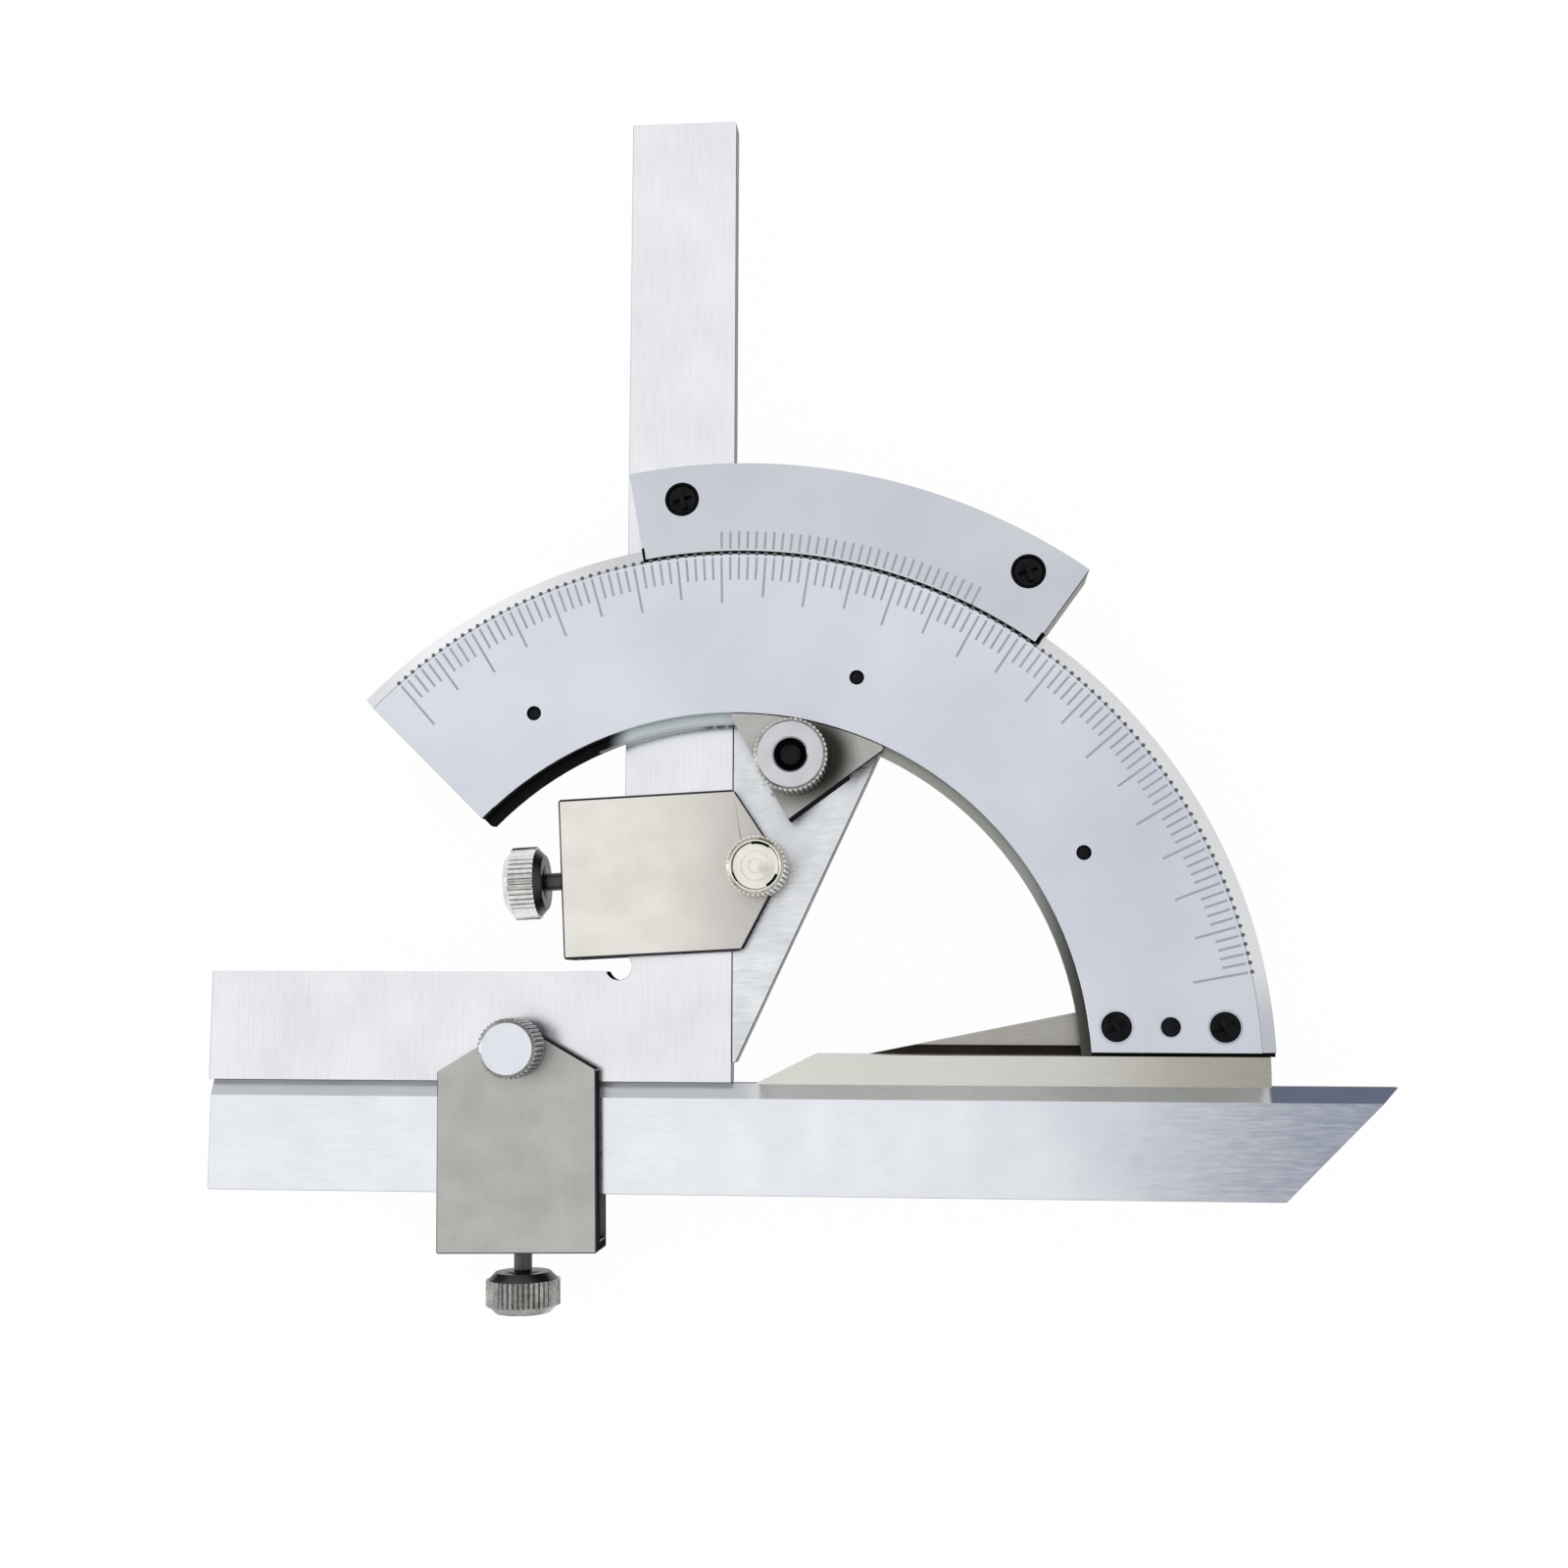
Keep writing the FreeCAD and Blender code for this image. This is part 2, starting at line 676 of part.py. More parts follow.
def build():
    upper_edge, lower_edge = upper_edge_distance(), lower_edge_distance()
    lower_turn = 90 + lower_block_turn
    parts = {
        "swivel_plate": swivel_plate(),
        "vernier_plate": vernier_plate(),
        "vernier_screws": vernier_screws(),
        "scale_plate": scale_plate(),
        "sector_frame": sector_frame(),
        "sector_gear": sector_gear(),
        "sector_pins": sector_pins(),
        "base_ruler": base_ruler(),
        "base_screws": base_screws(),
        "base_dowel": base_dowel(),
        "drive_pinion": drive_pinion(),
        "rear_knob": rear_knob(),
        "knob_grub_screw": knob_grub_screw(),
        "thrust_washer": thrust_washer(),
        "brake_stud": brake_stud(),
        "brake_pad": brake_pad(),
        "brake_nut": brake_nut(),
        "square": square(),
        "straight_ruler": straight_ruler(),
        "upper_clamp_block": upper_clamp(clamp_block, upper_block_turn),
        "upper_lock_knob": upper_clamp(lock_knob),
        "upper_thumb_screw": upper_clamp(thumb_screw, upper_block_turn, upper_edge),
        "upper_pressure_shoe": upper_clamp(pressure_shoe, upper_block_turn, 0, upper_edge),
        "lower_clamp_block": lower_clamp(clamp_block, lower_turn),
        "lower_lock_knob": lower_clamp(lock_knob),
        "lower_thumb_screw": lower_clamp(thumb_screw, lower_turn, lower_edge),
        "lower_pressure_shoe": lower_clamp(pressure_shoe, lower_turn, 90, lower_edge),
    }
    os.makedirs("parts", exist_ok=True)
    for name, shape in parts.items():
        shape.exportStep("parts/" + name + ".step")
        box = shape.BoundBox
        print(name, len(shape.Solids), shape.isValid(), round(shape.Volume, 2),
              [round(v, 2) for v in (box.XMin, box.XMax, box.YMin, box.YMax, box.ZMin, box.ZMax)])


build()
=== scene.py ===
import bpy
import bmesh
import json
import math
from mathutils import Matrix, Vector

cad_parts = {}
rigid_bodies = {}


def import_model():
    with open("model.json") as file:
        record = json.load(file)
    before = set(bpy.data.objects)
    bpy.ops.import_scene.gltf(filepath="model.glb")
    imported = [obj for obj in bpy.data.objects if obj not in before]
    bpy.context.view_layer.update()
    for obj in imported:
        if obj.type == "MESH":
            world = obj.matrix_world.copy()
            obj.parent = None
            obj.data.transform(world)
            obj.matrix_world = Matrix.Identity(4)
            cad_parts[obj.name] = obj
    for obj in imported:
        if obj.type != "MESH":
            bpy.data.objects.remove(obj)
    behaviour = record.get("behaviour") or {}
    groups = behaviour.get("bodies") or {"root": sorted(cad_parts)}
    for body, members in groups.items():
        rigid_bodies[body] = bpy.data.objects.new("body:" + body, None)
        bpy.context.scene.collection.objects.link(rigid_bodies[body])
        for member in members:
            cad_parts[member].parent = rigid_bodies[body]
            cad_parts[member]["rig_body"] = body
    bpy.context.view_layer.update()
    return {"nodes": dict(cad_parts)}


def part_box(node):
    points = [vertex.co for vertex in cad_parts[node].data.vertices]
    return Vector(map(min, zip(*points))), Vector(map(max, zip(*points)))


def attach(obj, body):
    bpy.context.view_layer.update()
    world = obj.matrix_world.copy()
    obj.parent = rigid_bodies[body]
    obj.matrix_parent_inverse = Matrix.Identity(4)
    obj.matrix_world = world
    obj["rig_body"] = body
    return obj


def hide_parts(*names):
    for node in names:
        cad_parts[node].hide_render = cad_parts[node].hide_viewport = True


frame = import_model()
nodes = frame["nodes"]
mm = 0.001
print("frame loaded")


def hexColour(code):
    # sRGB hex to the linear colour that a shader socket takes
    parts = [int(code[i:i + 2], 16) / 255 for i in (1, 3, 5)]
    return [p / 12.92 if p <= 0.04045 else ((p + 0.055) / 1.055) ** 2.4 for p in parts] + [1.0]


def addNode(tree, kind, settings=None, values=None, links=None):
    # one node: attributes, socket values by name or number, and links from (node, output)
    node = tree.nodes.new(kind)
    for key, value in (settings or {}).items():
        setattr(node, key, value)
    for key, value in (values or {}).items():
        node.inputs[key].default_value = value
    for key, (source, output) in (links or {}).items():
        tree.links.new(source.outputs[output], node.inputs[key])
    return node


def layColour(tree, under, code, value, start, end):
    # lays a colour over another one, from nothing at the start of a value to all at its end
    share = addNode(tree, "ShaderNodeMapRange", {"interpolation_type": "SMOOTHSTEP"},
                    {"From Min": start, "From Max": end}, {"Value": value})
    return addNode(tree, "ShaderNodeMix", {"data_type": "RGBA"}, {"B": hexColour(code)},
                   {"Factor": (share, "Result"), "A": (under, "Result")})


def addObject(name, data):
    # a new object, linked to the scene
    made = bpy.data.objects.new(name, data)
    bpy.context.scene.collection.objects.link(made)
    return made


def meshFrom(shape, name, material=None):
    # the bmesh becomes a mesh and is freed
    mesh = bpy.data.meshes.new(name)
    shape.to_mesh(mesh)
    shape.free()
    if material:
        mesh.materials.append(material)
    return mesh


# Camera: fitted to the photograph through the sizes of the part
camera = {"lens": 42.75, "sensor": 36, "near": 0.01, "place": (0.02796, 0.00975, 0.24509),
          "turn": (6.30, 5.23, 0.151)}
cameraData = bpy.data.cameras.new("camera")
cameraData.lens = camera["lens"]
cameraData.sensor_width = camera["sensor"]
cameraData.clip_start = camera["near"]
cameraObject = addObject("camera", cameraData)
cameraObject.location = camera["place"]
cameraObject.rotation_euler = [math.radians(a) for a in camera["turn"]]
bpy.context.scene.camera = cameraObject
bpy.context.scene.view_settings.view_transform = "Standard"

# Studio: a white tent whose walls are greyer near the horizon, with a grey card that the ruler's right end mirrors
# and a white panel at the left that the left end of the scale's slope mirrors; the cards' angles are in degrees
studio = {"top": "#FFFFFF", "walls": "#9C9EA2", "wallTop": 0.45}
cards = [{"colour": "#7C8396", "toward": (0.287, -0.075, 0.955), "inner": 0.5, "outer": 15.0},
         {"colour": "#FAFAFB", "toward": (-0.79, 0.61, 0.09), "inner": 12.0, "outer": 36.0}]
world = bpy.data.worlds.new("tent")
bpy.context.scene.world = world
world.use_nodes = True
tree = world.node_tree
tree.nodes.clear()
direction = addNode(tree, "ShaderNodeTexCoord")
height = addNode(tree, "ShaderNodeSeparateXYZ", links={0: (direction, "Generated")})
wallShare = addNode(tree, "ShaderNodeMapRange", {"interpolation_type": "SMOOTHSTEP"},
                    {"From Min": 0.0, "From Max": studio["wallTop"]}, {"Value": (height, "Z")})
tent = addNode(tree, "ShaderNodeMix", {"data_type": "RGBA"},
               {"A": hexColour(studio["walls"]), "B": hexColour(studio["top"])}, {"Factor": (wallShare, "Result")})
for card in cards:
    toCard = addNode(tree, "ShaderNodeVectorMath", {"operation": "DOT_PRODUCT"},
                     {1: Vector(card["toward"]).normalized()}, {0: (direction, "Generated")})
    tent = layColour(tree, tent, card["colour"], (toCard, "Value"), math.cos(math.radians(card["outer"])),
                     math.cos(math.radians(card["inner"])))
backdrop = addNode(tree, "ShaderNodeBackground", links={"Color": (tent, "Result")})
addNode(tree, "ShaderNodeOutputWorld", links={"Surface": (backdrop, "Background")})

# Weak low lamp at the left: no flat face mirrors it to the camera, so it only lights edges and knurls
lampFacts = {"place": (-0.50, 0.03, 0.14), "aim": (0, 0.02, 0.01), "size": 0.16, "watts": 0.5}
lampData = bpy.data.lights.new("edgeLamp", "AREA")
lampData.size = lampFacts["size"]
lampData.energy = lampFacts["watts"]
lamp = addObject("edgeLamp", lampData)
lamp.location = lampFacts["place"]
lamp.rotation_euler = (Vector(lampFacts["aim"]) - lamp.location).to_track_quat("-Z", "Y").to_euler()

# Floor: white table top, kept white to the camera and in reflections, with a share left to the object's shadow
floorFacts = {"colour": "#FFFFFF", "half": 1.5, "whiteShare": 0.97}
floorMesh = bpy.data.meshes.new("floor")
half = floorFacts["half"]
floorMesh.from_pydata([(-half, -half, 0), (half, -half, 0), (half, half, 0), (-half, half, 0)], [], [(0, 1, 2, 3)])
floor = addObject("floor", floorMesh)
whiteTable = bpy.data.materials.new("whiteTable")
whiteTable.use_nodes = True
tree = whiteTable.node_tree
tree.nodes.clear()
rays = addNode(tree, "ShaderNodeLightPath")
cameraOrGlossy = addNode(tree, "ShaderNodeMath", {"operation": "MAXIMUM"},
                         links={0: (rays, "Is Camera Ray"), 1: (rays, "Is Glossy Ray")})
seen = addNode(tree, "ShaderNodeMath", {"operation": "MAXIMUM"},
               links={0: (cameraOrGlossy, 0), 1: (rays, "Is Transmission Ray")})
share = addNode(tree, "ShaderNodeMath", {"operation": "MULTIPLY"}, {1: floorFacts["whiteShare"]}, {0: (seen, 0)})
paper = addNode(tree, "ShaderNodeBsdfDiffuse", values={"Color": hexColour(floorFacts["colour"])})
white = addNode(tree, "ShaderNodeEmission", values={"Color": (1, 1, 1, 1), "Strength": 1.0})
surface = addNode(tree, "ShaderNodeMixShader", links={0: (share, 0), 1: (paper, 0), 2: (white, 0)})
addNode(tree, "ShaderNodeOutputMaterial", links={"Surface": (surface, 0)})
floorMesh.materials.append(whiteTable)
print("camera, studio and floor set")


# What the finishes share where they don't say otherwise: grain and cloud sizes in mm, turns in degrees
plainFinish = {"glossSpread": 0.04, "grainTurn": (0, 0, 0), "grainWidth": 0.3, "grainLength": 2.0, "grain": 0.5,
               "cloudSize": 8, "cloud": 0.4, "relief": 0.2, "metallic": 1.0, "specular": 0.5, "fades": [],
               "shadowHalos": []}
noiseSpan = {"From Min": 0.3, "From Max": 0.7}  # where nearly all of a noise texture lies
reliefHeight = 0.01  # mm, height of the grain at full relief


def metal(name, facts):
    # Bare or plated metal: fine streaks along one direction, cloudy patches, and the same streaks in the gloss.
    # Fades change the colour along an axis, shadow halos lay a painted shadow round a spot (axis or x and y, two
    # distances in mm, colour)
    facts = {**plainFinish, **facts}
    material = bpy.data.materials.new(name)
    material.use_nodes = True
    tree = material.node_tree
    shader = tree.nodes["Principled BSDF"]
    shader.inputs["Metallic"].default_value = facts["metallic"]
    shader.inputs["Specular IOR Level"].default_value = facts["specular"]
    place = addNode(tree, "ShaderNodeTexCoord")
    turned = addNode(tree, "ShaderNodeMapping", values={"Rotation": [math.radians(a) for a in facts["grainTurn"]]},
                     links={"Vector": (place, "Object")})
    across = 1 / (facts["grainWidth"] * mm)
    along = 1 / (facts["grainLength"] * mm)
    stretched = addNode(tree, "ShaderNodeMapping", values={"Scale": (along, across, across)},
                        links={"Vector": (turned, "Vector")})
    streaks = addNode(tree, "ShaderNodeTexNoise", values={"Scale": 1.0, "Detail": 3.0, "Roughness": 0.6},
                      links={"Vector": (stretched, "Vector")})
    clouds = addNode(tree, "ShaderNodeTexNoise",
                     values={"Scale": 1 / (facts["cloudSize"] * mm), "Detail": 2.0, "Roughness": 0.5},
                     links={"Vector": (place, "Object")})
    spread = addNode(tree, "ShaderNodeMapRange",
                     values={**noiseSpan, "To Min": 0.5 - facts["grain"] / 2, "To Max": 0.5 + facts["grain"] / 2},
                     links={"Value": (streaks, "Fac")})
    cloudSpread = addNode(tree, "ShaderNodeMapRange",
                          values={**noiseSpan, "To Min": -facts["cloud"] / 2, "To Max": facts["cloud"] / 2},
                          links={"Value": (clouds, "Fac")})
    blend = addNode(tree, "ShaderNodeMath", {"operation": "ADD", "use_clamp": True},
                    links={0: (spread, "Result"), 1: (cloudSpread, "Result")})
    colour = addNode(tree, "ShaderNodeMix", {"data_type": "RGBA"},
                     {"A": hexColour(facts["dark"]), "B": hexColour(facts["light"])}, {"Factor": (blend, 0)})
    gloss = addNode(tree, "ShaderNodeMapRange",
                    values={**noiseSpan, "To Min": facts["roughness"] - facts["glossSpread"],
                            "To Max": facts["roughness"] + facts["glossSpread"]}, links={"Value": (streaks, "Fac")})
    relief = addNode(tree, "ShaderNodeBump", values={"Strength": facts["relief"], "Distance": reliefHeight * mm},
                     links={"Height": (streaks, "Fac")})
    steps = addNode(tree, "ShaderNodeSeparateXYZ", links={0: (place, "Object")})
    for axis, start, end, tint in facts["fades"]:
        colour = layColour(tree, colour, tint, (steps, axis), start * mm, end * mm)
    flat = addNode(tree, "ShaderNodeVectorMath", {"operation": "MULTIPLY"}, {1: (1, 1, 0)}, {0: (place, "Object")})
    for x, y, near, far, tint in facts["shadowHalos"]:
        away = addNode(tree, "ShaderNodeVectorMath", {"operation": "DISTANCE"}, {1: (x * mm, y * mm, 0)},
                       {0: (flat, 0)})
        colour = layColour(tree, colour, tint, (away, "Value"), far * mm, near * mm)
    tree.links.new(colour.outputs["Result"], shader.inputs["Base Color"])
    tree.links.new(gloss.outputs["Result"], shader.inputs["Roughness"])
    tree.links.new(relief.outputs["Normal"], shader.inputs["Normal"])
    return material


# Satin chrome of the graduated faces: bead-blasted, then chromed, so a cool even sheen with almost no streaks
satinFinish = {"roughness": 0.4, "glossSpread": 0.02, "grainWidth": 0.22, "grainLength": 0.22, "grain": 0.3,
               "cloud": 0.7, "relief": 0.1}
satinChrome = metal("satinChrome", {**satinFinish, "dark": "#CFD2DC", "light": "#DFE2E9", "cloudSize": 18})
satinChromeVernier = metal("satinChromeVernier", {
    **satinFinish, "dark": "#C6C9D1", "light": "#D3D6DC", "cloudSize": 14})
# Polished chrome of the bevelled scale edge: almost white, darker towards its left end and towards its foot as
# painted reflection
polishedChrome = metal("polishedChrome", {
    "dark": "#F2F3F4", "light": "#FDFDFE", "roughness": 0.22, "glossSpread": 0.02, "grainLength": 0.3,
    "grain": 0.3, "cloudSize": 10, "relief": 0.05,
    "fades": [("X", -38.0, -46.0, "#E3E4E6"), ("Y", 14.0, 4.0, "#D3D5DC")]})
# Surface-ground blades: faint wheel marks along their length, a slightly blue mirror
groundAlongX = metal("groundSteelAlongX", {
    "dark": "#DFE3E9", "light": "#EEF1F4", "roughness": 0.19, "grainLength": 2.6, "grain": 0.4, "cloudSize": 6,
    "cloud": 0.6})
groundAlongY = metal("groundSteelAlongY", {
    "dark": "#DFE1E7", "light": "#EEEFF2", "roughness": 0.22, "glossSpread": 0.03, "grainTurn": (0, 0, 90),
    "grainWidth": 0.4, "grainLength": 5.0, "cloudSize": 9, "cloud": 0.7, "relief": 0.3})
# Bevel of the ruler's edge: the same ground steel, a shade darker, lighter from x 6 mm, dimmer to the right and
# blue-grey at the tip, all painted reflection
groundBevel = metal("groundSteelBevel", {
    "dark": "#B6B9BE", "light": "#C3C6CB", "roughness": 0.28, "glossSpread": 0.03, "grainWidth": 0.25,
    "grainLength": 3.0, "cloudSize": 12, "cloud": 0.5,
    "fades": [("X", 0.0, 6.0, "#E9E9EA"), ("X", 28.0, 56.0, "#C4C6C5"), ("X", 66.1, 66.7, "#636A7D")]})
# Narrow sides of plates and blades, milled: a dark copy beside the ground faces as painted shade, or a light copy as
# painted light, chosen by the way a side faces
shadedSide = metal("shadedSide", {
    "dark": "#3E403F", "light": "#5E605E", "roughness": 0.38, "glossSpread": 0.05, "grainTurn": (0, 90, 0),
    "grainWidth": 0.2, "grainLength": 1.5, "relief": 0.4})
litSide = metal("litSide", {
    "dark": "#B9B9B6", "light": "#CFCFCB", "roughness": 0.26, "grainWidth": 0.25, "grainLength": 3.0})
# Fan plate: hand-brushed across, with streaks that show
brushedPlate = metal("brushedPlate", {
    "dark": "#D2D5D9", "light": "#EFF1F3", "roughness": 0.3, "glossSpread": 0.06, "grainTurn": (0, 0, -4),
    "grainWidth": 0.4, "grainLength": 3.2, "grain": 0.9, "cloudSize": 6, "cloud": 0.8, "relief": 0.5})
# Base bar: warm grey with fine lapping along it, darker towards its right end, and a milled web that is duller
lappedSteel = metal("lappedSteel", {
    "dark": "#D2D1CA", "light": "#DCDBD4", "roughness": 0.24, "glossSpread": 0.03, "grainWidth": 0.25,
    "grainLength": 3.0, "cloudSize": 14, "cloud": 0.6, "relief": 0.25,
    "fades": [("X", 40.0, 60.0, "#C8C2B2")]})
millWeb = metal("milledWeb", {
    "dark": "#A29E97", "light": "#B5B2AB", "roughness": 0.36, "grain": 0.6, "cloud": 0.6, "relief": 0.4})
# Painted shade in grooves, gaps, deep holes and on shaded walls, dark brown or near black, which hardly reflects
grooveShade = metal("grooveShade", {
    "dark": "#211D1A", "light": "#38322D", "roughness": 0.5, "glossSpread": 0.05, "grain": 0.6, "cloudSize": 6,
    "cloud": 0.5})
shadeBlack = metal("shadeBlack", {
    "dark": "#0C0D0F", "light": "#17181B", "roughness": 0.6, "glossSpread": 0.05, "grainLength": 0.3,
    "cloudSize": 3, "relief": 0.1, "metallic": 0.0, "specular": 0.0})
# Matt nickel of the clamp blocks: warm and silky; the upper one is greyer towards its knob
mattNickel = metal("mattNickel", {
    "dark": "#DDDBD3", "light": "#EBE9E1", "roughness": 0.38, "glossSpread": 0.03, "grainTurn": (0, 0, 3),
    "grainWidth": 0.6, "grainLength": 1.5, "grain": 0.25, "cloudSize": 5, "cloud": 0.8, "relief": 0.1,
    "fades": [("X", -12.0, 6.0, "#C4C0BC")]})
wornNickel = metal("wornNickel", {
    "dark": "#ACABA8", "light": "#BCBBB8", "roughness": 0.36, "grainTurn": (0, 0, 91), "grainWidth": 0.6,
    "grainLength": 1.5, "grain": 0.3, "cloudSize": 5, "cloud": 0.8, "relief": 0.12})
# Sides of the clamp blocks and the brake pad: near black, without gloss, painted shade
shadedBlockSide = metal("shadedBlockSide", {
    "dark": "#1C1B20", "light": "#2A292E", "roughness": 0.42, "grainTurn": (0, 90, 0), "grainLength": 1.5,
    "cloudSize": 6, "cloud": 0.5, "metallic": 0.0, "specular": 0.0})
# Sawn end of the vernier: dark beside its face, painted shade on the end that faces down and right
vernierEndShade = metal("vernierEndShade", {
    "dark": "#414245", "light": "#57585B", "roughness": 0.6, "grainTurn": (0, 90, 0), "grainLength": 1.0,
    "cloudSize": 3, "cloud": 0.6, "metallic": 0.0, "specular": 0.0})
# Broken edges of the clamp blocks: a dark grey line along them, painted shade
blockEdgeShade = metal("blockEdgeShade", {
    "dark": "#38373B", "light": "#504F53", "roughness": 0.36, "grainLength": 0.6, "grain": 0.6, "cloudSize": 4,
    "cloud": 0.6})
# Bright nickel of the turned pieces: the upper knob has yellowed, the lower one is still white, the nut is greyer
turnedFinish = {"glossSpread": 0.03, "grainWidth": 0.4, "grainLength": 0.4, "grain": 0.4, "cloudSize": 3,
                "relief": 0.15}
creamNickel = metal("creamNickel", {
    **turnedFinish, "dark": "#E2E0D2", "light": "#F0EEE4", "roughness": 0.26, "cloud": 0.5})
brightNickel = metal("brightNickel", {
    **turnedFinish, "dark": "#D9DCE4", "light": "#E7EAF1", "roughness": 0.2, "relief": 0.1})
nutNickel = metal("nutNickel", {
    **turnedFinish, "dark": "#C4C3C8", "light": "#D5D4D8", "roughness": 0.3, "cloud": 0.6})
# Knurls: the grooves are dark between bright ridges, partly from oil and dust and partly as painted shade, and the
# ridges' colour varies from one to the next; the last two ridge metals are lit and shaded copies, painted light and
# shade
ridgeFinish = {"roughness": 0.28, "glossSpread": 0.05, "grainWidth": 0.5, "grainLength": 0.5, "grain": 0.8,
               "cloudSize": 2.5, "cloud": 0.8, "relief": 0.3}
knurlGroove = metal("knurlGroove", {
    "dark": "#2E2D2B", "light": "#4A4946", "roughness": 0.5, "glossSpread": 0.05, "grainLength": 0.3,
    "grain": 0.6, "cloudSize": 2, "cloud": 0.5, "relief": 0.4})
knurlRidge = metal("knurlRidge", {**ridgeFinish, "dark": "#A8A7A4", "light": "#DAD9D6"})
creamRidge = metal("creamRidge", {**ridgeFinish, "dark": "#C9C6B8", "light": "#ECE9DD"})
litRidge = metal("litRidge", {**ridgeFinish, "dark": "#CDCDCB", "light": "#F2F2F0"})
shadedRidge = metal("shadedRidge", {**ridgeFinish, "dark": "#7E7D7A", "light": "#B8B7B4", "roughness": 0.3})
# Brake pad: fine-ground steel, a dull grey, with the nut's shadow painted round the nut, darkest to its right
dullSteel = metal("dullSteel", {
    "dark": "#A9A8A5", "light": "#BEBDBA", "roughness": 0.4, "grainTurn": (0, 0, 20), "grainLength": 1.2,
    "cloudSize": 5, "cloud": 0.6, "relief": 0.3,
    "shadowHalos": [(8.3, 37.9, 4.4, 6.8, "#92918D"), (10.3, 38.8, 3.1, 6.7, "#34332F")]})
# Teeth, pinion and shoes: hardened steel with a film of oil
gearSteel = metal("gearSteel", {
    "dark": "#6F706E", "light": "#8B8C8A", "roughness": 0.34, "glossSpread": 0.05, "grainLength": 1.0,
    "cloudSize": 5, "cloud": 0.5, "relief": 0.3})
# Black-oxide screws and pins: a thin black layer over steel, slightly shiny
blackOxide = metal("blackOxide", {
    "dark": "#131315", "light": "#26272A", "roughness": 0.36, "glossSpread": 0.06, "grainWidth": 0.2,
    "grainLength": 0.2, "grain": 0.6, "cloudSize": 2, "cloud": 0.5, "relief": 0.3})
# Etched division lines and the dots at their ends, filled with matt ink
inkFinish = {"roughness": 0.6, "glossSpread": 0.02, "grainLength": 0.3, "cloudSize": 4, "relief": 0.1,
             "metallic": 0.0}
lineInk = metal("lineInk", {**inkFinish, "dark": "#94979E", "light": "#A7AAB1"})
dotInk = metal("dotInk", {**inkFinish, "dark": "#4A4C50", "light": "#5E6065"})
# Inner wall of the sector: bare machined steel with painted reflection and shade along it, greyer past the middle
# and dark towards the foot; its free end is black without gloss, painted shade
sectorWall = metal("sectorWall", {
    "dark": "#B6BEC0", "light": "#CAD2D4", "roughness": 0.4, "grainTurn": (0, 90, 0), "relief": 0.3,
    "fades": [("X", -12.8, -16.0, "#161717"), ("X", 6.0, 16.0, "#9C9E98"), ("X", 36.0, 44.0, "#4C4D48")]})
blackBore = metal("blackBore", {
    "dark": "#1B1B1C", "light": "#2A2A2B", "roughness": 0.5, "grainTurn": (0, 90, 0), "metallic": 0.0,
    "specular": 0.0})
print("materials made")


def bodyOf(node):
    return nodes[node]["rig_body"]


def middleOf(node):
    low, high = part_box(node)
    return (low + high) / 2


def onArcPoint(radius, degrees):
    # a place on a circle about the sector's centre
    return Vector((radius * math.cos(math.radians(degrees)), radius * math.sin(math.radians(degrees)), 0)) * mm


def bakePiece(piece):
    # modifiers become plain mesh
    bpy.context.view_layer.update()
    seen = piece.evaluated_get(bpy.context.evaluated_depsgraph_get())
    mesh = bpy.data.meshes.new_from_object(seen)
    piece.modifiers.clear()
    piece.data = mesh


# Sorting of faces by how much their normal rises, and by how nearly it faces a side; weld in mm, angles in degrees
faceFacts = {"flat": 0.97, "steep": 0.3, "facing": 0.9, "weld": 0.002, "sameFace": 0.3, "corner": 40}
# Degrees past which an edge is shaded sharp
creases = {"cadCopy": 25, "strip": 20, "turned": 32, "screw": 30}


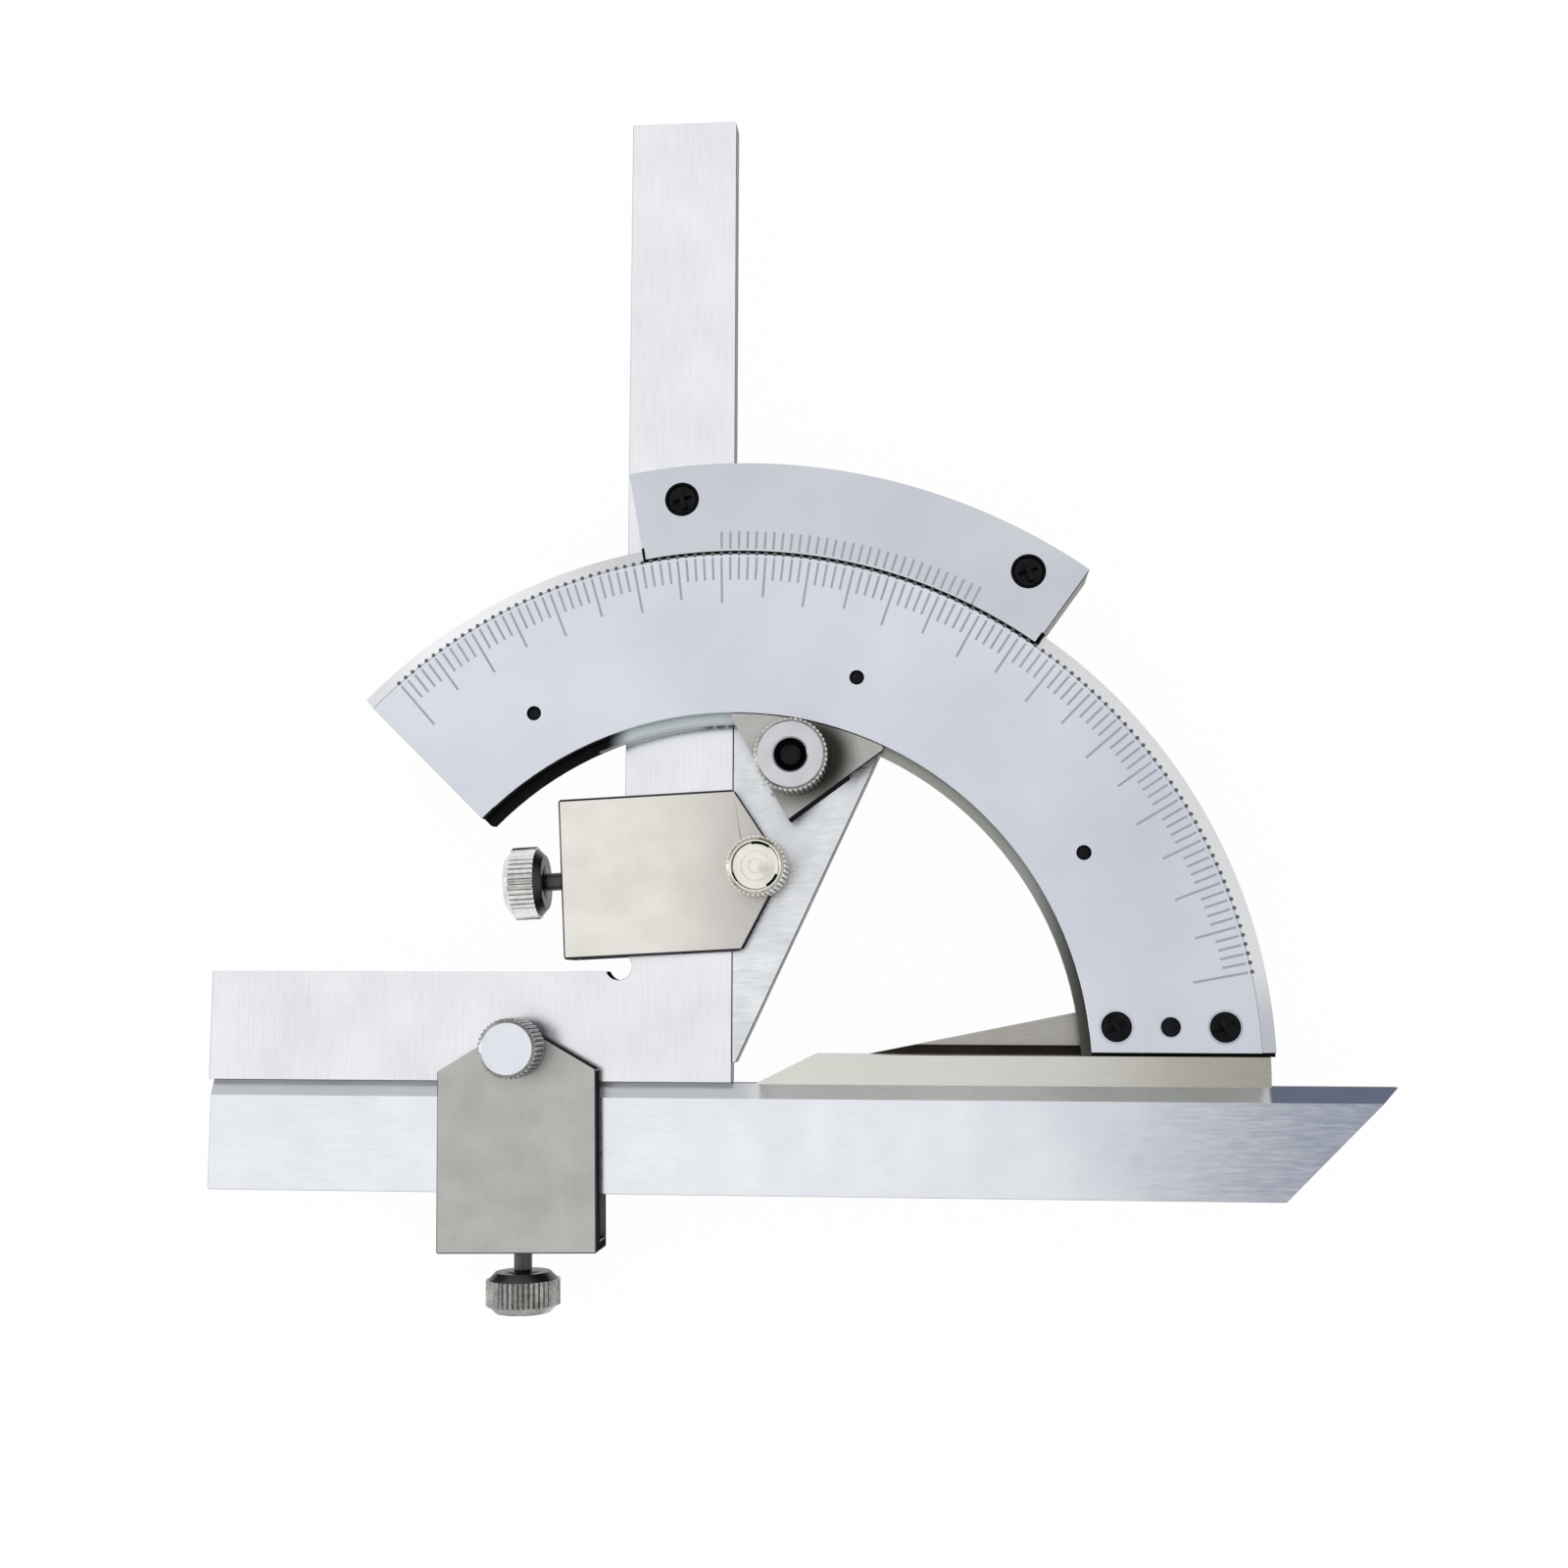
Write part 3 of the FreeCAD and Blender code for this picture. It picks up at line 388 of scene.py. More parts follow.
def dressNode(node, facts):
    # a welded copy of a CAD node with broken edges; flat faces, slopes and walls take their own materials,
    # walls that face a given side, faces inside a given box and walls towards the sector's centre may have others;
    # here the facing walls are painted lit or shaded, and the box and bore materials are mostly painted shade
    name = facts["name"]
    mesh = nodes[node].data.copy()
    mesh.name = name
    mesh.materials.clear()
    sides = facts.get("sides", [])
    patches = facts.get("patches", [])
    plain = facts["face"]
    for material in (plain, facts.get("slope", plain), facts.get("wall", plain), *[side[1] for side in sides],
                     *[patch[2] for patch in patches], facts.get("edge", plain), *facts.get("bore", [])):
        mesh.materials.append(material)
    edgeIndex = 3 + len(sides) + len(patches)
    boreIndex = edgeIndex + 1
    shape = bmesh.new()
    shape.from_mesh(mesh)
    bmesh.ops.remove_doubles(shape, verts=shape.verts, dist=faceFacts["weld"] * mm)
    bmesh.ops.dissolve_limit(shape, angle_limit=math.radians(faceFacts["sameFace"]), verts=shape.verts,
                             edges=shape.edges)
    shape.normal_update()
    for face in shape.faces:
        rise = abs(face.normal.z)
        face.material_index = 0 if rise > faceFacts["flat"] else 1 if rise > faceFacts["steep"] else 2
        if rise < faceFacts["steep"]:
            for i, (toward, material) in enumerate(sides):
                if face.normal.x * toward[0] + face.normal.y * toward[1] > faceFacts["facing"]:
                    face.material_index = 3 + i
        middle = face.calc_center_median() / mm
        if "bore" in facts and rise < faceFacts["steep"] and face.normal.dot(middle) < 0:
            face.material_index = boreIndex + (middle.x < facts["blackBefore"])
        for i, (low, high, material) in enumerate(patches):
            if all(low[k] < middle[k] < high[k] for k in range(3)):
                face.material_index = 3 + len(sides) + i
        face.smooth = True
    shape.to_mesh(mesh)
    shape.free()
    piece = addObject(name, mesh)
    if "breakEdge" in facts:
        bevel = piece.modifiers.new("brokenEdges", "BEVEL")
        bevel.width = facts["breakEdge"] * mm
        bevel.segments = 1
        bevel.limit_method = "ANGLE"
        bevel.angle_limit = math.radians(faceFacts["corner"])
        bevel.use_clamp_overlap = facts.get("clamp", True)
        if "edge" in facts:
            bevel.material = edgeIndex
    bakePiece(piece)
    for face in piece.data.polygons:  # flat faces stay flat up to their broken edges
        if abs(face.normal.z) > faceFacts["flat"]:
            face.use_smooth = False
            if face.material_index == edgeIndex:
                face.material_index = 0
    piece.data.set_sharp_from_angle(angle=math.radians(creases["cadCopy"]))
    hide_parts(node)
    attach(piece, bodyOf(node))


def lathe(name, profile, steps, material):
    # turned piece about Z from (radius, height) in mm, listed from the bottom centre to the top centre
    shape = bmesh.new()
    rings = []
    for radius, level in profile:
        if radius == 0:
            rings.append([shape.verts.new((0, 0, level * mm))])
        else:
            rings.append([shape.verts.new((radius * mm * math.cos(2 * math.pi * i / steps),
                                           radius * mm * math.sin(2 * math.pi * i / steps), level * mm))
                          for i in range(steps)])
    for low, high in zip(rings, rings[1:]):
        for i in range(steps):
            j = (i + 1) % steps
            if len(low) == 1:
                shape.faces.new((low[0], high[j], high[i]))
            elif len(high) == 1:
                shape.faces.new((low[i], low[j], high[0]))
            else:
                shape.faces.new((low[i], low[j], high[j], high[i]))
    bmesh.ops.recalc_face_normals(shape, faces=shape.faces)
    for face in shape.faces:
        face.smooth = True
    return addObject(name, meshFrom(shape, name, material))


def geometryTree(name, inputs):
    # empty Geometry Nodes tree with named inputs; returns the tree, its input node and socket identifiers
    tree = bpy.data.node_groups.new(name, "GeometryNodeTree")
    tree.interface.new_socket("Geometry", in_out="INPUT", socket_type="NodeSocketGeometry")
    tree.interface.new_socket("Geometry", in_out="OUTPUT", socket_type="NodeSocketGeometry")
    identifiers = {}
    for title, kind in inputs.items():
        identifiers[title] = tree.interface.new_socket(title, in_out="INPUT", socket_type=kind).identifier
    return tree, addNode(tree, "NodeGroupInput"), identifiers


def finishTree(tree, source, group, materialInput, keepBody=False):
    # every tree ends in Realize Instances and Set Material; the piece's own mesh may be kept beside them
    real = addNode(tree, "GeometryNodeRealizeInstances", links={0: (source, 0)})
    painted = addNode(tree, "GeometryNodeSetMaterial",
                      links={"Geometry": (real, 0), "Material": (group, materialInput)})
    if keepBody:
        painted = addNode(tree, "GeometryNodeJoinGeometry", links={0: (painted, 0)})
        tree.links.new(group.outputs["Geometry"], painted.inputs[0])
    addNode(tree, "NodeGroupOutput", links={0: (painted, 0)})


def growPiece(piece, tree, identifiers, values):
    # runs a tree on a piece and keeps the plain mesh
    modifier = piece.modifiers.new(tree.name, "NODES")
    modifier.node_group = tree
    for title, value in values.items():
        modifier[identifiers[title]] = value
    bakePiece(piece)


def arcAngles(tree, group):
    # the points' numbers, and the angle that each one has on the arc
    index = addNode(tree, "GeometryNodeInputIndex")
    stepped = addNode(tree, "ShaderNodeMath", {"operation": "MULTIPLY_ADD"},
                      links={0: (index, 0), 1: (group, "Step Angle"), 2: (group, "First Angle")})
    return index, addNode(tree, "ShaderNodeMath", {"operation": "RADIANS"}, links={0: (stepped, 0)})


def pointsOnArc(tree, group, angle, radius):
    # points at their angles, at a radius and at the height of Level
    points = addNode(tree, "GeometryNodePoints", links={"Count": (group, "Count")})
    ways = []
    for operation in ("COSINE", "SINE"):
        unit = addNode(tree, "ShaderNodeMath", {"operation": operation}, links={0: (angle, 0)})
        ways.append(addNode(tree, "ShaderNodeMath", {"operation": "MULTIPLY"}, links={0: (unit, 0), 1: radius}))
    place = addNode(tree, "ShaderNodeCombineXYZ", links={0: (ways[0], 0), 1: (ways[1], 0), 2: (group, "Level")})
    return addNode(tree, "GeometryNodeSetPosition", links={"Geometry": (points, 0), "Position": (place, 0)})


floatSocket, intSocket, materialSocket = "NodeSocketFloat", "NodeSocketInt", "NodeSocketMaterial"

# Division lines: bars on an arc, every fifth and tenth one longer, the first and last longest
lineTree, group, lineInputs = geometryTree("divisionLines", {
    "Count": intSocket, "First Angle": floatSocket, "Step Angle": floatSocket, "Outer Radius": floatSocket,
    "Short": floatSocket, "Fifth": floatSocket, "Tenth": floatSocket, "First": floatSocket, "Last": floatSocket,
    "Width": floatSocket, "Depth": floatSocket, "Level": floatSocket, "Ink": materialSocket})
index, angle = arcAngles(lineTree, group)
length = (group, "Short")
for every, title in ((5.0, "Fifth"), (10.0, "Tenth")):
    left = addNode(lineTree, "ShaderNodeMath", {"operation": "MODULO"}, {1: every}, {0: (index, 0)})
    isWhole = addNode(lineTree, "ShaderNodeMath", {"operation": "LESS_THAN"}, {1: 0.5}, {0: (left, 0)})
    chosen = addNode(lineTree, "ShaderNodeMix", links={"Factor": (isWhole, 0), 2: length, 3: (group, title)})
    length = (chosen, 0)
isFirst = addNode(lineTree, "ShaderNodeMath", {"operation": "LESS_THAN"}, {1: 0.5}, {0: (index, 0)})
beforeLast = addNode(lineTree, "ShaderNodeMath", {"operation": "SUBTRACT"}, {1: 1.5}, {0: (group, "Count")})
isLast = addNode(lineTree, "ShaderNodeMath", {"operation": "GREATER_THAN"},
                 links={0: (index, 0), 1: (beforeLast, 0)})
for test, title in ((isFirst, "First"), (isLast, "Last")):
    chosen = addNode(lineTree, "ShaderNodeMix", links={"Factor": (test, 0), 2: length, 3: (group, title)})
    length = (chosen, 0)
middle = addNode(lineTree, "ShaderNodeMath", {"operation": "MULTIPLY_ADD"}, {1: -0.5},
                 {0: length, 2: (group, "Outer Radius")})
spots = pointsOnArc(lineTree, group, angle, (middle, 0))
bar = addNode(lineTree, "GeometryNodeMeshCube", values={"Size": (1, 1, 1)})
lineTurn = addNode(lineTree, "ShaderNodeCombineXYZ", links={2: (angle, 0)})
lineSize = addNode(lineTree, "ShaderNodeCombineXYZ", links={0: length, 1: (group, "Width"), 2: (group, "Depth")})
lines = addNode(lineTree, "GeometryNodeInstanceOnPoints",
                links={"Points": (spots, 0), "Instance": (bar, 0), "Rotation": (lineTurn, 0),
                       "Scale": (lineSize, 0)})
finishTree(lineTree, lines, group, "Ink")

# Dots at the ends of the lines: short pegs on an arc
dotTree, group, dotInputs = geometryTree("edgeDots", {
    "Count": intSocket, "First Angle": floatSocket, "Step Angle": floatSocket, "Radius": floatSocket,
    "Dot Radius": floatSocket, "Depth": floatSocket, "Level": floatSocket, "Ink": materialSocket})
index, angle = arcAngles(dotTree, group)
spots = pointsOnArc(dotTree, group, angle, (group, "Radius"))
peg = addNode(dotTree, "GeometryNodeMeshCylinder", values={"Vertices": 8},
              links={"Radius": (group, "Dot Radius"), "Depth": (group, "Depth")})
dots = addNode(dotTree, "GeometryNodeInstanceOnPoints", links={"Points": (spots, 0), "Instance": (peg, 0)})
finishTree(dotTree, dots, group, "Ink")

# Straight knurl: bars round a drum, half sunk in it
knurlTree, group, knurlInputs = geometryTree("straightKnurl", {
    "Ridges": intSocket, "Sides": intSocket, "Radius": floatSocket, "Ridge Radius": floatSocket, "Low": floatSocket,
    "High": floatSocket, "Ridge Metal": materialSocket})
ring = addNode(knurlTree, "GeometryNodeMeshCircle", {"fill_type": "NONE"},
               links={"Vertices": (group, "Ridges"), "Radius": (group, "Radius")})
index = addNode(knurlTree, "GeometryNodeInputIndex")
share = addNode(knurlTree, "ShaderNodeMath", {"operation": "DIVIDE"}, links={0: (index, 0), 1: (group, "Ridges")})
ridgeTurn = addNode(knurlTree, "ShaderNodeMath", {"operation": "MULTIPLY"}, {1: 2 * math.pi}, {0: (share, 0)})
ridgeAngles = addNode(knurlTree, "ShaderNodeCombineXYZ", links={2: (ridgeTurn, 0)})
span = addNode(knurlTree, "ShaderNodeMath", {"operation": "SUBTRACT"}, links={0: (group, "High"), 1: (group, "Low")})
total = addNode(knurlTree, "ShaderNodeMath", {"operation": "ADD"}, links={0: (group, "High"), 1: (group, "Low")})
halfWay = addNode(knurlTree, "ShaderNodeMath", {"operation": "MULTIPLY"}, {1: 0.5}, {0: (total, 0)})
lift = addNode(knurlTree, "ShaderNodeCombineXYZ", links={2: (halfWay, 0)})
raised = addNode(knurlTree, "GeometryNodeSetPosition", links={"Geometry": (ring, 0), "Offset": (lift, 0)})
ridge = addNode(knurlTree, "GeometryNodeMeshCylinder",
                links={"Vertices": (group, "Sides"), "Radius": (group, "Ridge Radius"), "Depth": (span, 0)})
ridges = addNode(knurlTree, "GeometryNodeInstanceOnPoints",
                 links={"Points": (raised, 0), "Instance": (ridge, 0), "Rotation": (ridgeAngles, 0)})
finishTree(knurlTree, ridges, group, "Ridge Metal", keepBody=True)

# Screws at their spots: one screw mesh on each point of the piece
screwTree, group, screwInputs = geometryTree("screwsAtSpots", {
    "Screw": "NodeSocketObject", "Turn": floatSocket, "Finish": materialSocket})
screwInfo = addNode(screwTree, "GeometryNodeObjectInfo", links={"Object": (group, "Screw")})
screwTurn = addNode(screwTree, "ShaderNodeCombineXYZ", links={2: (group, "Turn")})
screws = addNode(screwTree, "GeometryNodeInstanceOnPoints",
                 links={"Points": (group, "Geometry"), "Instance": (screwInfo, "Geometry"),
                        "Rotation": (screwTurn, 0)})
finishTree(screwTree, screws, group, "Finish")
print("geometry trees made")


# Plates, frame and blades: CAD copies. Sides are walls that face (x, y), painted lighter or darker by their facing
# as painted light and shade, patches are the faces in a box in mm, and bore holds the finishes of the inner wall,
# black as painted shade where x is below blackBefore
plateFacts = {
    "scale_plate": {"name": "scaleFace", "slot": "satin_chrome", "face": satinChrome, "slope": polishedChrome,
                    "wall": litSide, "bore": (sectorWall, blackBore), "blackBefore": -16.5, "breakEdge": 0.06},
    "sector_frame": {"name": "sectorRing", "slot": "satin_chrome", "face": sectorWall, "wall": litSide,
                     "bore": (sectorWall, blackBore), "blackBefore": -16.5, "breakEdge": 0.08},
    "sector_gear": {"name": "gearSegment", "slot": "gear_steel", "face": sectorWall, "wall": gearSteel,
                    "bore": (sectorWall, blackBore), "blackBefore": -16.5},
    # base bar: its walls facing down, right and up take the light side copy as painted light, the rest the dark one
    # as painted shade; its groove patch is painted shade
    "base_ruler": {"name": "baseBar", "slot": "lapped_steel", "face": lappedSteel, "wall": shadedSide,
                   "sides": [((0, -1), litSide), ((1, 0), litSide), ((0, 1), litSide)],
                   "patches": [((10, 2.95, 8), (70, 20, 9.5), millWeb), ((10, 1.8, 8), (70, 3.0, 9.5), grooveShade)],
                   "breakEdge": 0.08},
    # vernier: its end facing down and right takes the dark end colour, painted shade
    "vernier_plate": {"name": "vernierFace", "slot": "satin_chrome", "face": satinChromeVernier,
                      "wall": satinChromeVernier, "sides": [((0.81, -0.59), vernierEndShade)], "breakEdge": 0.06},
    "swivel_plate": {"name": "fanPlate", "slot": "brushed_plate", "face": brushedPlate, "wall": shadedSide,
                     "breakEdge": 0.08},
    # brake pad: its walls are black as painted shade, its broken edges a lighter nickel as painted highlight
    "brake_pad": {"name": "brakePad", "slot": "nickel_matt", "face": dullSteel, "wall": shadedBlockSide,
                  "edge": nutNickel, "breakEdge": 0.12},
    # square: its wall facing down takes the light side copy as painted light, and its wall facing up and right is
    # black as painted shade
    "square": {"name": "steelSquare", "slot": "ground_steel", "face": groundAlongY, "wall": shadedSide,
               "sides": [((0, -1), litSide), ((0.75, 0.66), shadeBlack)], "breakEdge": 0.05},
    "straight_ruler": {"name": "straightRuler", "slot": "ground_steel", "face": groundAlongX,
                       "slope": groundBevel, "wall": shadedSide, "breakEdge": 0.05},
    # clamp blocks: their black walls and dark broken edges are painted shade
    "upper_clamp_block": {"name": "upperClamp", "slot": "nickel_matt", "face": mattNickel, "wall": shadedBlockSide,
                          "edge": blockEdgeShade, "breakEdge": 0.24, "clamp": False},
    "lower_clamp_block": {"name": "lowerClamp", "slot": "nickel_matt", "face": wornNickel, "wall": shadedBlockSide,
                          "edge": blockEdgeShade, "breakEdge": 0.15, "clamp": False},
    "drive_pinion": {"name": "drivePinion", "slot": "gear_steel", "face": brushedPlate},
    "thrust_washer": {"name": "thrustWasher", "slot": "gear_steel", "face": gearSteel, "breakEdge": 0.04},
    "brake_stud": {"name": "brakeStud", "slot": "black_screw", "face": blackOxide},
    "knob_grub_screw": {"name": "grubScrew", "slot": "black_screw", "face": blackOxide},
    "rear_knob": {"name": "rearKnob", "slot": "nickel_plate", "face": nutNickel, "wall": knurlRidge},
    "base_dowel": {"name": "baseDowel", "slot": "black_screw", "face": blackOxide, "breakEdge": 0.1},
    "sector_pins": {"name": "sectorPins", "slot": "black_screw", "face": blackOxide, "breakEdge": 0.1},
    "upper_pressure_shoe": {"name": "upperShoe", "slot": "gear_steel", "face": gearSteel, "breakEdge": 0.05},
    "lower_pressure_shoe": {"name": "lowerShoe", "slot": "gear_steel", "face": gearSteel, "breakEdge": 0.05}}
for node, facts in plateFacts.items():
    dressNode(node, facts)
print("plates dressed:", len(plateFacts))

# Division lines and edge dots: angles in degrees. The scale runs over 120 of its divisions, the vernier over 30
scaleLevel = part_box("scale_plate")[1].z
scaleDivisions = {"Count": 121, "First Angle": 131.4, "Step Angle": -1.00625}
vernierDivisions = {"Count": 31, "First Angle": 91.1, "Step Angle": -0.96}
cutLine = {"Width": 0.3 * mm, "Depth": 0.02 * mm, "Level": scaleLevel, "Ink": lineInk}
scaleLines = {**scaleDivisions, **cutLine, "Outer Radius": 64.35 * mm, "Short": 2.9 * mm, "Fifth": 5.1 * mm,
              "Tenth": 5.9 * mm, "First": 6.7 * mm, "Last": 6.7 * mm}
vernierLines = {**vernierDivisions, **cutLine, "Outer Radius": 67.7 * mm, "Short": 2.25 * mm, "Fifth": 2.25 * mm,
                "Tenth": 2.25 * mm, "First": 2.25 * mm, "Last": 3.2 * mm}
edgeDots = {**scaleDivisions, "Radius": 64.85 * mm, "Dot Radius": 0.27 * mm, "Depth": 0.3 * mm,
            "Level": scaleLevel - 0.13 * mm, "Ink": dotInk}
for name, tree, inputs, values, node in (
        ("scaleLines", lineTree, lineInputs, scaleLines, "scale_plate"),
        ("vernierLines", lineTree, lineInputs, vernierLines, "vernier_plate"),
        ("scaleDots", dotTree, dotInputs, edgeDots, "scale_plate")):
    marks = addObject(name, bpy.data.meshes.new(name))
    growPiece(marks, tree, inputs, values)
    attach(marks, bodyOf(node))
print("divisions cut")


def arcStrip(name, section, start, end, steps, material, centre=(0, 0)):
    # four-cornered section of (radius, level) in mm, swept from one angle to another in degrees about a centre
    shape = bmesh.new()
    rings = []
    for i in range(steps + 1):
        turn = math.radians(start + (end - start) * i / steps)
        rings.append([shape.verts.new(((centre[0] + radius * math.cos(turn)) * mm,
                                       (centre[1] + radius * math.sin(turn)) * mm, level * mm))
                      for radius, level in section])
    for a, b in zip(rings, rings[1:]):
        for k in range(4):
            shape.faces.new((a[k], a[(k + 1) % 4], b[(k + 1) % 4], b[k]))
    shape.faces.new(rings[0])
    shape.faces.new(rings[-1])
    bmesh.ops.recalc_face_normals(shape, faces=shape.faces)
    for face in shape.faces:
        face.smooth = True
    mesh = meshFrom(shape, name, material)
    mesh.set_sharp_from_angle(angle=math.radians(creases["strip"]))
    return addObject(name, mesh)


def boxSection(inner, outer, low, high):
    return (inner, low), (outer, low), (outer, high), (inner, high)


# The scale's polished slope in fine steps, the line where it meets the face, and a painted shade line along the
# vernier's inner edge and up both its corners
faceLevel = scaleLevel / mm
shadeLineTop = faceLevel + 0.012
slopeSection = ((64.76, faceLevel - 0.1), (66.6, faceLevel - 1.3), (66.6, faceLevel - 1.188),
                (64.76, faceLevel + 0.006))
cornerSection = boxSection(64.82, 66.7, faceLevel - 0.4, shadeLineTop)
arcs = {
    "scaleSlope": {"node": "scale_plate", "slot": "satin_chrome", "section": slopeSection, "angles": (2.0, 135.45),
                   "steps": 260, "material": polishedChrome},
    "slopeLine": {"node": "scale_plate", "slot": "satin_chrome", "angles": (2.0, 135.4), "steps": 260,
                  "section": boxSection(64.70, 64.80, faceLevel - 0.1, faceLevel + 0.01), "material": lineInk},
    "vernierSeam": {"node": "vernier_plate", "slot": "black_screw", "angles": (54.0, 100.0), "steps": 90,
                    "section": boxSection(64.78, 65.2, faceLevel - 0.25, shadeLineTop), "material": shadeBlack},
    "vernierLeftSeam": {"node": "vernier_plate", "slot": "black_screw", "section": cornerSection,
                        "angles": (99.72, 100.02), "steps": 2, "material": shadeBlack},
    "vernierRightSeam": {"node": "vernier_plate", "slot": "black_screw", "section": cornerSection,
                         "angles": (53.75, 54.2), "steps": 2, "material": shadeBlack}}
for name, facts in arcs.items():
    strip = arcStrip(name, facts["section"], *facts["angles"], facts["steps"], facts["material"])
    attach(strip, bodyOf(facts["node"]))

# Painted shade line under the foot of the sector, where it stands on the base bar
footFacts = {"left": 44.5, "right": 66.4, "low": 1.72, "high": 2.19, "depth": 0.3}
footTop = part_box("sector_frame")[1].z / mm
shape = bmesh.new()
bmesh.ops.create_cube(shape, size=1.0)
bmesh.ops.scale(shape, verts=shape.verts, vec=Vector((footFacts["right"] - footFacts["left"],
                                                      footFacts["high"] - footFacts["low"],
                                                      footFacts["depth"])) * mm)
bmesh.ops.translate(shape, verts=shape.verts, vec=Vector((footFacts["left"] + footFacts["right"],
                                                          footFacts["low"] + footFacts["high"],
                                                          2 * footTop + footFacts["depth"])) * mm / 2)
footSeam = addObject("footSeam", meshFrom(shape, "footSeam", shadeBlack))
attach(footSeam, bodyOf("sector_frame"))
print("shade lines laid")


def joinInto(body, part):
    # adds one mesh to another, with its materials
    shape = bmesh.new()
    shape.from_mesh(body.data)
    offset = len(body.data.materials)
    for material in part.data.materials:
        body.data.materials.append(material)
    before = set(shape.faces)
    shape.from_mesh(part.data)
    for face in shape.faces:
        if face not in before:
            face.material_index += offset
    shape.to_mesh(body.data)
    shape.free()
    bpy.data.objects.remove(part)


# Knurled turned pieces: a dark drum with bright ridges, and bright end faces
drumSteps = {"drum": 96, "shank": 48}


def turnedPiece(name, facts, place):
    # facts in mm about Z; place is the matrix that takes it to where the CAD node is
    low, high, radius, depth, bevel = facts["low"], facts["high"], facts["radius"], facts["knurl"], facts["bevel"]
    inner = radius - depth
    body = lathe(name, [(0, low), (inner - bevel, low), (inner, low + bevel), (inner, high - bevel),
                        (inner - bevel, high), *facts.get("top", []), (0, facts.get("middle", high))],
                 drumSteps["drum"], facts["groove"])
    plain = facts["face"]
    for material in (plain, facts.get("hole", plain), facts.get("under", plain), facts.get("rim", plain)):
        body.data.materials.append(material)
    for face in body.data.polygons:
        out = Vector((face.center.x, face.center.y)).length / mm
        if abs(face.normal.z) > faceFacts["steep"]:
            face.material_index = 3 if face.normal.z < 0 else 4 if out > inner - bevel else 1
        if out < facts.get("mouth", 0):
            face.material_index = 2
    growPiece(body, knurlTree, knurlInputs, {
        "Ridges": facts["ridges"], "Sides": facts.get("sides", 6), "Radius": inner * mm,
        "Ridge Radius": depth * mm, "Low": (low + bevel) * mm, "High": (high - bevel) * mm,
        "Ridge Metal": facts["ridgeMetal"]})
    for extra in facts.get("extras", []):
        joinInto(body, lathe(name + "Shank", extra, drumSteps["shank"], facts["shank"]))
    body.data.set_sharp_from_angle(angle=math.radians(creases["turned"]))
    body.data.transform(place)
    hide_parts(facts["node"])
    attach(body, bodyOf(facts["node"]))


# Brake nut, with a black bore in its top and a darker top edge, both painted shade
nutBox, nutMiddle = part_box("brake_nut"), middleOf("brake_nut")
nutHeight = (nutBox[1].z - nutBox[0].z) / mm
boreFloor = nutHeight - 1.6
nutFacts = {"node": "brake_nut", "low": 0, "high": nutHeight, "radius": 4.6, "knurl": 0.28, "bevel": 0.28,
            "ridges": 44, "groove": knurlGroove, "face": nutNickel, "ridgeMetal": knurlRidge,
            "hole": shadeBlack, "mouth": 2.1, "rim": shadedRidge,
            "top": [(2.25, nutHeight), (2.05, nutHeight - 0.2), (2.05, boreFloor)], "middle": boreFloor}
turnedPiece("brakeNut", nutFacts, Matrix.Translation((nutMiddle.x, nutMiddle.y, nutBox[0].z)))

# Lock knobs: the upper one has a groove and turned rings in its face, as (radius, height over the rim)
knobRings = [(3.05, 0), (2.95, -0.1), (2.85, -0.5), (2.4, -0.55), (2.2, -0.5), (1.6, -0.52), (1.45, -0.48),
             (0.7, -0.5), (0.55, -0.46)]
knobSizes = {"drum": 5.2, "shank": 1.5, "dish": 0.48}
# the lower knob's ridges and top edge take the darker ridge metal, painted shade
for name, node, dished, faceMetal, ridgeMetal in (
        ("upperKnob", "upper_lock_knob", True, creamNickel, creamRidge),
        ("lowerKnob", "lower_lock_knob", False, brightNickel, shadedRidge)):
    low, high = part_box(node)
    top = (high.z - low.z) / mm
    drumLow = top - knobSizes["drum"]
    shankRadius = knobSizes["shank"]
    knobFacts = {"node": node, "low": drumLow, "high": top, "radius": 3.8, "knurl": 0.25, "bevel": 0.35,
                 "ridges": 38, "groove": knurlGroove, "face": faceMetal, "ridgeMetal": ridgeMetal, "rim": ridgeMetal,
                 "top": [(radius, top + rise) for radius, rise in knobRings] if dished else [],
                 "middle": top - knobSizes["dish"] if dished else top, "shank": gearSteel,
                 "extras": [[(0, 0), (shankRadius, 0), (shankRadius, drumLow), (0, drumLow)]]}
    centre = middleOf(node)
    turnedPiece(name, knobFacts, Matrix.Translation((centre.x, centre.y, low.z)))

# Painted shade lies in parts of the upper knob's groove, and two turning marks stand on its floor: radii,
# angles in degrees and the top's height over the rim
knobMiddle, knobTop = middleOf("upper_lock_knob"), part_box("upper_lock_knob")[1].z / mm
for name, inner, outer, start, end, rise, material in (
        ("oilTop", 2.72, 3.0, 55, 100, 0.005, shadeBlack), ("oilRight", 2.66, 3.02, -60, -22, 0.005, shadeBlack),
        ("oilLeft", 2.84, 3.03, 195, 220, 0.005, shadeBlack), ("turningInner", 0.8, 0.98, 0, 360, -0.44, creamRidge),
        ("turningOuter", 1.75, 1.95, 0, 360, -0.44, creamRidge)):
    strip = arcStrip(name, boxSection(inner, outer, knobTop - 0.6, knobTop + rise), start, end, 40, material,
                     (knobMiddle.x / mm, knobMiddle.y / mm))
    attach(strip, bodyOf("upper_lock_knob"))

# Thumb screws: they point away from their lock knob's axis, with the shank no nearer to it than "shankFrom"
thumbFacts = {"reach": 25.5, "neck": 2.6, "gap": 0.1, "head": 5.0, "shankFrom": 12.0, "shank": 1.15,
              "shoulder": 1.3, "collar": 2.3, "chamfer": 0.2}
